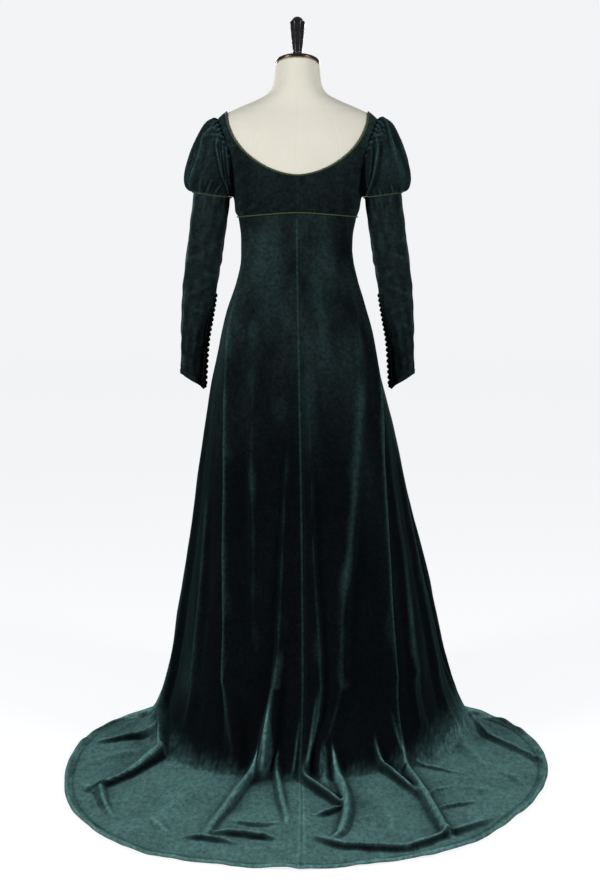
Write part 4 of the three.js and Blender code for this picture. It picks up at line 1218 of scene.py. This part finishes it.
def puff_cloth(folds, angle, along):
    """The puff with its folds, head tucks, ruffles and gathers."""
    around_arm = np.radians(angle)
    full = np.sin(np.pi * np.clip(along, 0, 1)) ** 0.6 * (0.35 + 0.65 * np.cos(around_arm / 2) ** 2)
    lift = np.zeros(np.shape(angle))
    for rows in folds:
        crest, height, out, body = fold_at(rows, along)
        height = np.where(along > rows[-1][0], 0, height)
        across = turned(angle - crest)
        wide = np.where(across * crest > 0, body, out)
        lift += height * MM * fold_profile(abs(across) / wide, 1.25)
    lift = lift * (0.5 + 0.5 * full)
    for at, turn, length, height in HEAD_TUCKS:
        bend = turn * np.sin(np.clip(along / length, 0, 1) * math.pi / 2)
        tuck = fold_profile(abs(turned(angle - at - bend)) / 5.2, 1.3)
        lift += height * MM * tuck * ease((length - along) / 0.08) * ease(along / 0.03)
    ruffled = bell((angle - 50) / 22, (along - 0.2) / 0.07)
    lift += 0.0016 * ruffled * ripples(around_arm * 0.06, along * 0.11, 0.011, 33)
    gathers = np.sin(around_arm * 33 + 1.2 * np.sin(around_arm * 5))
    lift += 0.0007 * gathers * ease((along - 0.82) / 0.12) * ease((1.0 - along) / 0.06)
    lift += 0.0006 * full * ripples(around_arm * 0.06, along * 0.12, 0.03, 31)
    normal = -outward(puff_point, angle, along, 1, 0.02)
    return puff_point(angle, along) + normal * lift[:, None]


def sleeve_base(angle, z):
    """The lower sleeve without its creases."""
    x, y, wide, deep, slant = (read(SLEEVE, k, z) for k in range(1, 6))
    return sleeve_ring((x, y, z, wide, deep, slant), angle)


def sleeve_normal(angle, z):
    return -outward(sleeve_base, angle, z, 1, -0.001)


# Creases of the sleeve: angle, height, tilt, half length in degrees, lift in mm.
SLEEVE_CREASES = [
    (60, 1.06, 0.35, 60, 2.2), (120, 1.02, -0.3, 55, 1.8), (80, 0.985, 0.4, 70, 2.4),
    (30, 1.10, -0.4, 50, 2.0), (140, 1.09, 0.3, 45, 1.8), (100, 0.94, -0.35, 60, 1.8),
    (40, 0.90, 0.3, 60, 1.6), (110, 0.865, 0.35, 50, 1.5), (70, 0.825, -0.25, 60, 1.2),
    (-60, 1.04, 0.3, 60, 2.2), (-110, 0.98, -0.3, 60, 2.0), (-70, 0.92, 0.3, 60, 1.8),
    (-120, 1.09, 0.3, 50, 2.0), (-90, 0.86, -0.3, 60, 1.5), (-30, 1.0, -0.35, 50, 1.8),
    (180, 1.05, 0.3, 45, 1.8),
]


def sleeve_cloth(angle, along):
    """The sleeve from under its band (0) to its pointed cuff (1)."""
    low = SLEEVE_LOW - 0.005 * bell(turned(angle - 150) / 17)
    z = SLEEVE_TOP + (low - SLEEVE_TOP) * along
    lift = 0.0009 * ripples(np.radians(angle) * 0.04, z * 0.6, 0.03, 41)
    for at, high, tilt, half, height in SLEEVE_CREASES:
        across = turned(angle - at)
        line = bell((z - high - tilt * 0.0007 * across) / 0.0085)
        lift += height * MM * fold_profile(abs(across) / half, 2) * line
    under_band = ease((1.197 - z) / 0.010) * ease((z - 1.135) / 0.05)
    lift += 0.0004 * under_band * np.sin(np.radians(angle) * 22 + np.sin(np.radians(angle) * 4))
    lift += 0.0010 * ease((0.013 - (z - low)) / 0.002) - 0.0008 * bell((z - low - 0.0135) / 0.0012)
    lift = lift * ease((SLEEVE_TOP - z) / 0.006)
    return sleeve_base(angle, np.maximum(z, 0.770)) + sleeve_normal(angle, z) * lift[:, None]


def tube_sheet(name, columns, rows, cloth, side, material, node, crests, shine=()):
    """A sleeve-like tube: angle round it, along it from its top."""

    def surface(u, v):
        return cloth(360 * u - 180, 1 - v)

    piece = cloth_grid(name, columns, rows, surface)
    turn_outwards(piece)
    u, v = grid_places(columns, rows)
    # Painted highlights on the crests of the folds, and painted sheen from the shine spots.
    paint_crest_light(piece, columns, rows, *crests, spots(shine, 360 * u - 180, 1 - v))
    close_seams(piece, 0.00001, outside=False)
    thicken(piece)
    if side < 0:
        mirror(piece)
    return place_piece(piece, material, "velvet", node)


def turn_outwards(piece):
    """Flips a tube's faces if they look to its own axis."""
    face = piece.data.polygons[len(piece.data.polygons) // 2]
    points = corners(piece)
    near = points[abs(points[:, 2] - face.center[2]) < 0.02].mean(0)
    if (face.center - Vector((near[0], near[1], face.center[2]))) @ face.normal < 0:
        flip_faces(piece)


# ---------------------------------------------------------------- buttons and loops

BUTTONS, BUTTON_RADIUS, BUTTON_HIGH = 18, 4.6 * MM, 5.2 * MM
BUTTON_TOP, BUTTON_LOW, BUTTON_ANGLE = 0.974, 0.790, 164.0  # the row's two ends and its angle
SEWN = 0.7 * MM  # how far off the sleeve things are sewn on
BALL_CUT = 0.35  # where a ball of radius 1 is cut off to make a button
TAPE_ANGLES = (139, 153)
LOOP_REACH, LOOP_HALF, LOOP_NECK, LOOP_THREAD = 5.8 * MM, 5.2 * MM, 3.5 * MM, 0.7 * MM


def button_places():
    """Each button's place and the way it faces, from the top."""
    angle = np.array([BUTTON_ANGLE])
    for i in range(BUTTONS):
        z = np.array([BUTTON_TOP + (BUTTON_LOW - BUTTON_TOP) * i / (BUTTONS - 1)])
        out = sleeve_normal(angle, z)[0]
        yield sleeve_base(angle, z)[0] + out * SEWN, out


def covered_button():
    """A low dome of velvet over a mould, drawn in at its back."""
    deselect()
    bpy.ops.mesh.primitive_uv_sphere_add(segments=18, ring_count=10, radius=1)
    dome = bpy.context.object
    with editing(dome):
        bpy.ops.mesh.bisect(plane_co=(0, 0, -BALL_CUT), plane_no=(0, 0, 1), use_fill=True,
                            clear_inner=True)
    points = corners(dome)
    points[:, 2] += BALL_CUT
    pleats = np.cos(np.arctan2(points[:, 1], points[:, 0]) * 9) * (points[:, 2] < BALL_CUT)
    points[:, :2] *= BUTTON_RADIUS * (1 - 0.035 * pleats[:, None])
    points[:, 2] *= BUTTON_HIGH / (1 + BALL_CUT)
    put_corners(dome, points)
    bpy.ops.object.shade_smooth()
    return dome


def button_row(hand, side):
    model = covered_button()
    row = []
    for point, out in button_places():
        copy = bpy.data.objects.new("button", model.data.copy())
        bpy.context.scene.collection.objects.link(copy)
        turn = Vector(out * (side, 1, 1)).to_track_quat("Z", "Y").to_matrix().to_4x4()
        copy.data.transform(Matrix.Translation(point * (side, 1, 1)) @ turn)
        row.append(copy)
    bpy.data.objects.remove(model)
    nodes = [f"button_{hand}_{i + 1:02d}" for i in range(BUTTONS)]
    place_piece(join(f"buttons_{hand}", row), velvet_sleeve, "velvet", *nodes)


def loop_row(hand, side):
    """A tape with one thin loop round each button."""

    def tape(u, v):
        angle = TAPE_ANGLES[0] + (TAPE_ANGLES[1] - TAPE_ANGLES[0]) * u
        z = BUTTON_LOW - 0.006 + (BUTTON_TOP - BUTTON_LOW + 0.012) * v
        waves = np.sin(z * 2 * math.pi / 0.0108) + np.sin(u * math.pi)
        high = SEWN + 0.0011 + 0.0003 * waves
        return sleeve_base(angle, z) + sleeve_normal(angle, z) * high[:, None]

    strip = cloth_grid("tape", 4, 89, tape)
    turn_outwards(strip)
    thicken(strip, 1 * MM)
    row = [strip]
    bend = np.linspace(0, 2 * math.pi, 15)[:-1, None]
    reach = LOOP_REACH * np.cos(bend) + LOOP_NECK * (np.cos(bend) > 0.5)
    for point, out in button_places():
        down = np.cross(out, np.cross([0, 0, 1.0], out))
        down /= np.linalg.norm(down)
        towards = np.cross(down, out)
        towards *= -np.sign(towards[1])
        line = point + out * 0.0015 + towards * reach + down * LOOP_HALF * np.sin(bend)
        row.append(cord_piece("loop", line, LOOP_THREAD, 18, 5, 0))
    piece = join(f"loops_{hand}", row)
    if side < 0:
        mirror(piece)
    place_piece(piece, velvet_sleeve, "velvet", f"loop_tape_{hand}")


# ---------------------------------------------------------------- cords


def neck_cord():
    angles = np.linspace(-180, 180, 361)[:-1]
    heights = neck_height(angles)
    edge = form_point(angles, heights)
    out = outward(form_point, angles, heights, 0.5, -0.0005)
    upwards = np.cross(out, np.roll(edge, -1, 0) - np.roll(edge, 1, 0))
    upwards /= np.linalg.norm(upwards, axis=1, keepdims=True)
    upwards *= np.sign(upwards[:, 2:])
    line = edge + out * (CORD_NECK + 0.0007) + upwards * (CORD_NECK + 0.0012)
    return cord_piece("neck_cord", line, CORD_NECK, 620)


def waist_cord():
    angles = np.linspace(-180, 180, 181)[:-1]
    z = seam_height(angles)
    radius = skirt_radius(angles, np.minimum(z, SEAM_Z)) + CORD_WAIST + 0.0006
    return cord_piece("waist_cord", around(angles, radius, z), CORD_WAIST, 460)


def band_cord(hand, side):
    x, y, z, _, _, slant = BAND
    away = CORD_BAND + 0.3 * MM
    ring = (x - 0.0005, y, z - away, 0.041 + away, 0.049 + away, slant)
    line = sleeve_ring(ring, np.linspace(0, 360, 73)[:-1]) * (side, 1, 1)
    return cord_piece(f"band_cord_{hand}", line, CORD_BAND, 220)


# ---------------------------------------------------------------- the gown put together

dress_form()

back = bodice_panel("bodice_back_panel", -90, 90, "bodice_back")
front = bodice_panel("bodice_front_panel", 90, 270, "bodice_front")
skirt_left = skirt_panel("skirt_left_back", -90, 0, 208, BACK_ROWS, "skirt_back_left")
skirt_right = skirt_panel("skirt_right_back", 0, 90, 208, BACK_ROWS, "skirt_back_right")
skirt_fore = skirt_panel("skirt_front_panel", 90, 270, 210, FRONT_ROWS, "skirt_front")

sleeves = {}
for hand, side in (("left", -1), ("right", 1)):
    puff = partial(puff_cloth, PUFF_FOLDS[hand])
    sleeves[hand] = (
        tube_sheet(f"puffed_sleeve_{hand}", 240, 64, puff, side, velvet_puff, f"puff_{hand}",
                   (1.4 * MM, 0.34, 0.03), PUFF_SHINE[hand]),
        tube_sheet(f"forearm_sleeve_{hand}", 96, 150, sleeve_cloth, side, velvet_sleeve,
                   f"sleeve_{hand}", (0.7 * MM, 0.13, 0.0)),
    )
    button_row(hand, side)
    loop_row(hand, side)
    place_piece(band_cord(hand, side), cord_olive, "piping", f"band_piping_{hand}")

place_piece(neck_cord(), cord_olive, "piping", "neck_piping")
place_piece(waist_cord(), cord_olive, "piping", "waist_piping")

for hand in ("left", "right"):
    puffed, forearm = sleeves[hand]

# ---------------------------------------------------------------- floor, light and camera

FLOOR_REACH, BEND, WALL = 9.0, 3.0, 0.7  # the flat floor, the bend's radius and the wall above it
PAPER_SEEN, AIR_SEEN, AIR_CAST = 0.87, 0.92, 0.17
KEY_SIZE, FILL_SIZE = (1.0, 2.2), (1.2, 1.8)
KEY_AIM, FILL_AIM = (0, 0, 0.8), (0, 0, 0.9)
CAMERA_PLACE, CAMERA_PITCH = (0.0056, -4.5, 1.2), 83
LENS, SENSOR = 82.19, 36


def bowl(u, v):
    """A pale round floor that curves up into a low wall all round."""
    angle, run = 2 * math.pi * u, (FLOOR_REACH + BEND * math.pi / 2 + WALL) * v
    bend = np.maximum(run - FLOOR_REACH, 0) / BEND
    turn = np.minimum(bend, math.pi / 2)
    reach = np.minimum(run, FLOOR_REACH) + BEND * np.sin(turn)
    z = BEND * (1 - np.cos(turn)) + BEND * np.maximum(bend - math.pi / 2, 0)
    return np.stack([reach * np.cos(angle), reach * np.sin(angle), z], -1)


def seen_light(tree, seen, cast):
    """A strength that shows as one value and lights the gown as another."""
    path = add_node(tree, "LightPath").outputs["Is Camera Ray"]
    return add_node(tree, "MapRange", Value=path, To_Min=cast, To_Max=seen).outputs["Result"]


studio = close_seams(cloth_grid("studio_bowl", 96, 60, bowl), 0.001)
paper, tree, shader = finish("studio_paper", Roughness=0.9, Specular_IOR_Level=0.02,
                             Emission_Color=(0.978, 0.986, 1.0, 1))
tone = ramp(tree, speckle(tree, 3), (0.3, grey(0.215)), (0.7, grey(0.225)))
connect(tree, shader, Base_Color=tone, Emission_Strength=seen_light(tree, PAPER_SEEN, 0.0))
studio.data.materials.append(paper)

world = bpy.data.worlds.new("studio_air")
bpy.context.scene.world = world
world.use_nodes = True
tree = world.node_tree
connect(tree, tree.nodes["Background"], Color=(0.97, 0.985, 1.0, 1),
        Strength=seen_light(tree, AIR_SEEN, AIR_CAST))


def softbox(name, place, aim, size, power, lit=()):
    """A soft area light; with a list of lit pieces it lights those alone."""
    light = bpy.data.lights.new(name, "AREA")
    light.shape = "RECTANGLE"
    light.size, light.size_y = size
    light.energy = power
    lamp = bpy.data.objects.new(name, light)
    lamp.location = place
    lamp.rotation_euler = (Vector(aim) - Vector(place)).to_track_quat("-Z", "Y").to_euler()
    lamp.visible_camera = False
    bpy.context.scene.collection.objects.link(lamp)
    if lit:
        group = bpy.data.collections.new(f"{name}_pieces")
        for piece in lit:
            group.objects.link(piece)
        lamp.light_linking.receiver_collection = group


softbox("left_key", (-3.0, -2.5, 1.6), KEY_AIM, KEY_SIZE, 139)
softbox("right_key", (3.0, -2.5, 1.6), KEY_AIM, KEY_SIZE, 112)
backs = {skirt_left, skirt_right, back, studio}
front_pieces = [p for p in bpy.context.scene.objects if p.type == "MESH" and p not in backs]
softbox("front_fill_left", (-2.0, 3.6, 2.0), FILL_AIM, FILL_SIZE, 95, front_pieces)
softbox("front_fill_right", (1.4, 4.0, 1.8), FILL_AIM, FILL_SIZE, 60, front_pieces)

camera_data = bpy.data.cameras.new("camera")
camera_data.lens = LENS
camera_data.sensor_width = SENSOR
camera = bpy.data.objects.new("camera", camera_data)
camera.location = CAMERA_PLACE
camera.rotation_euler = (math.radians(CAMERA_PITCH), 0, 0)
bpy.context.scene.collection.objects.link(camera)
bpy.context.scene.camera = camera
bpy.context.scene.view_settings.view_transform = "Standard"
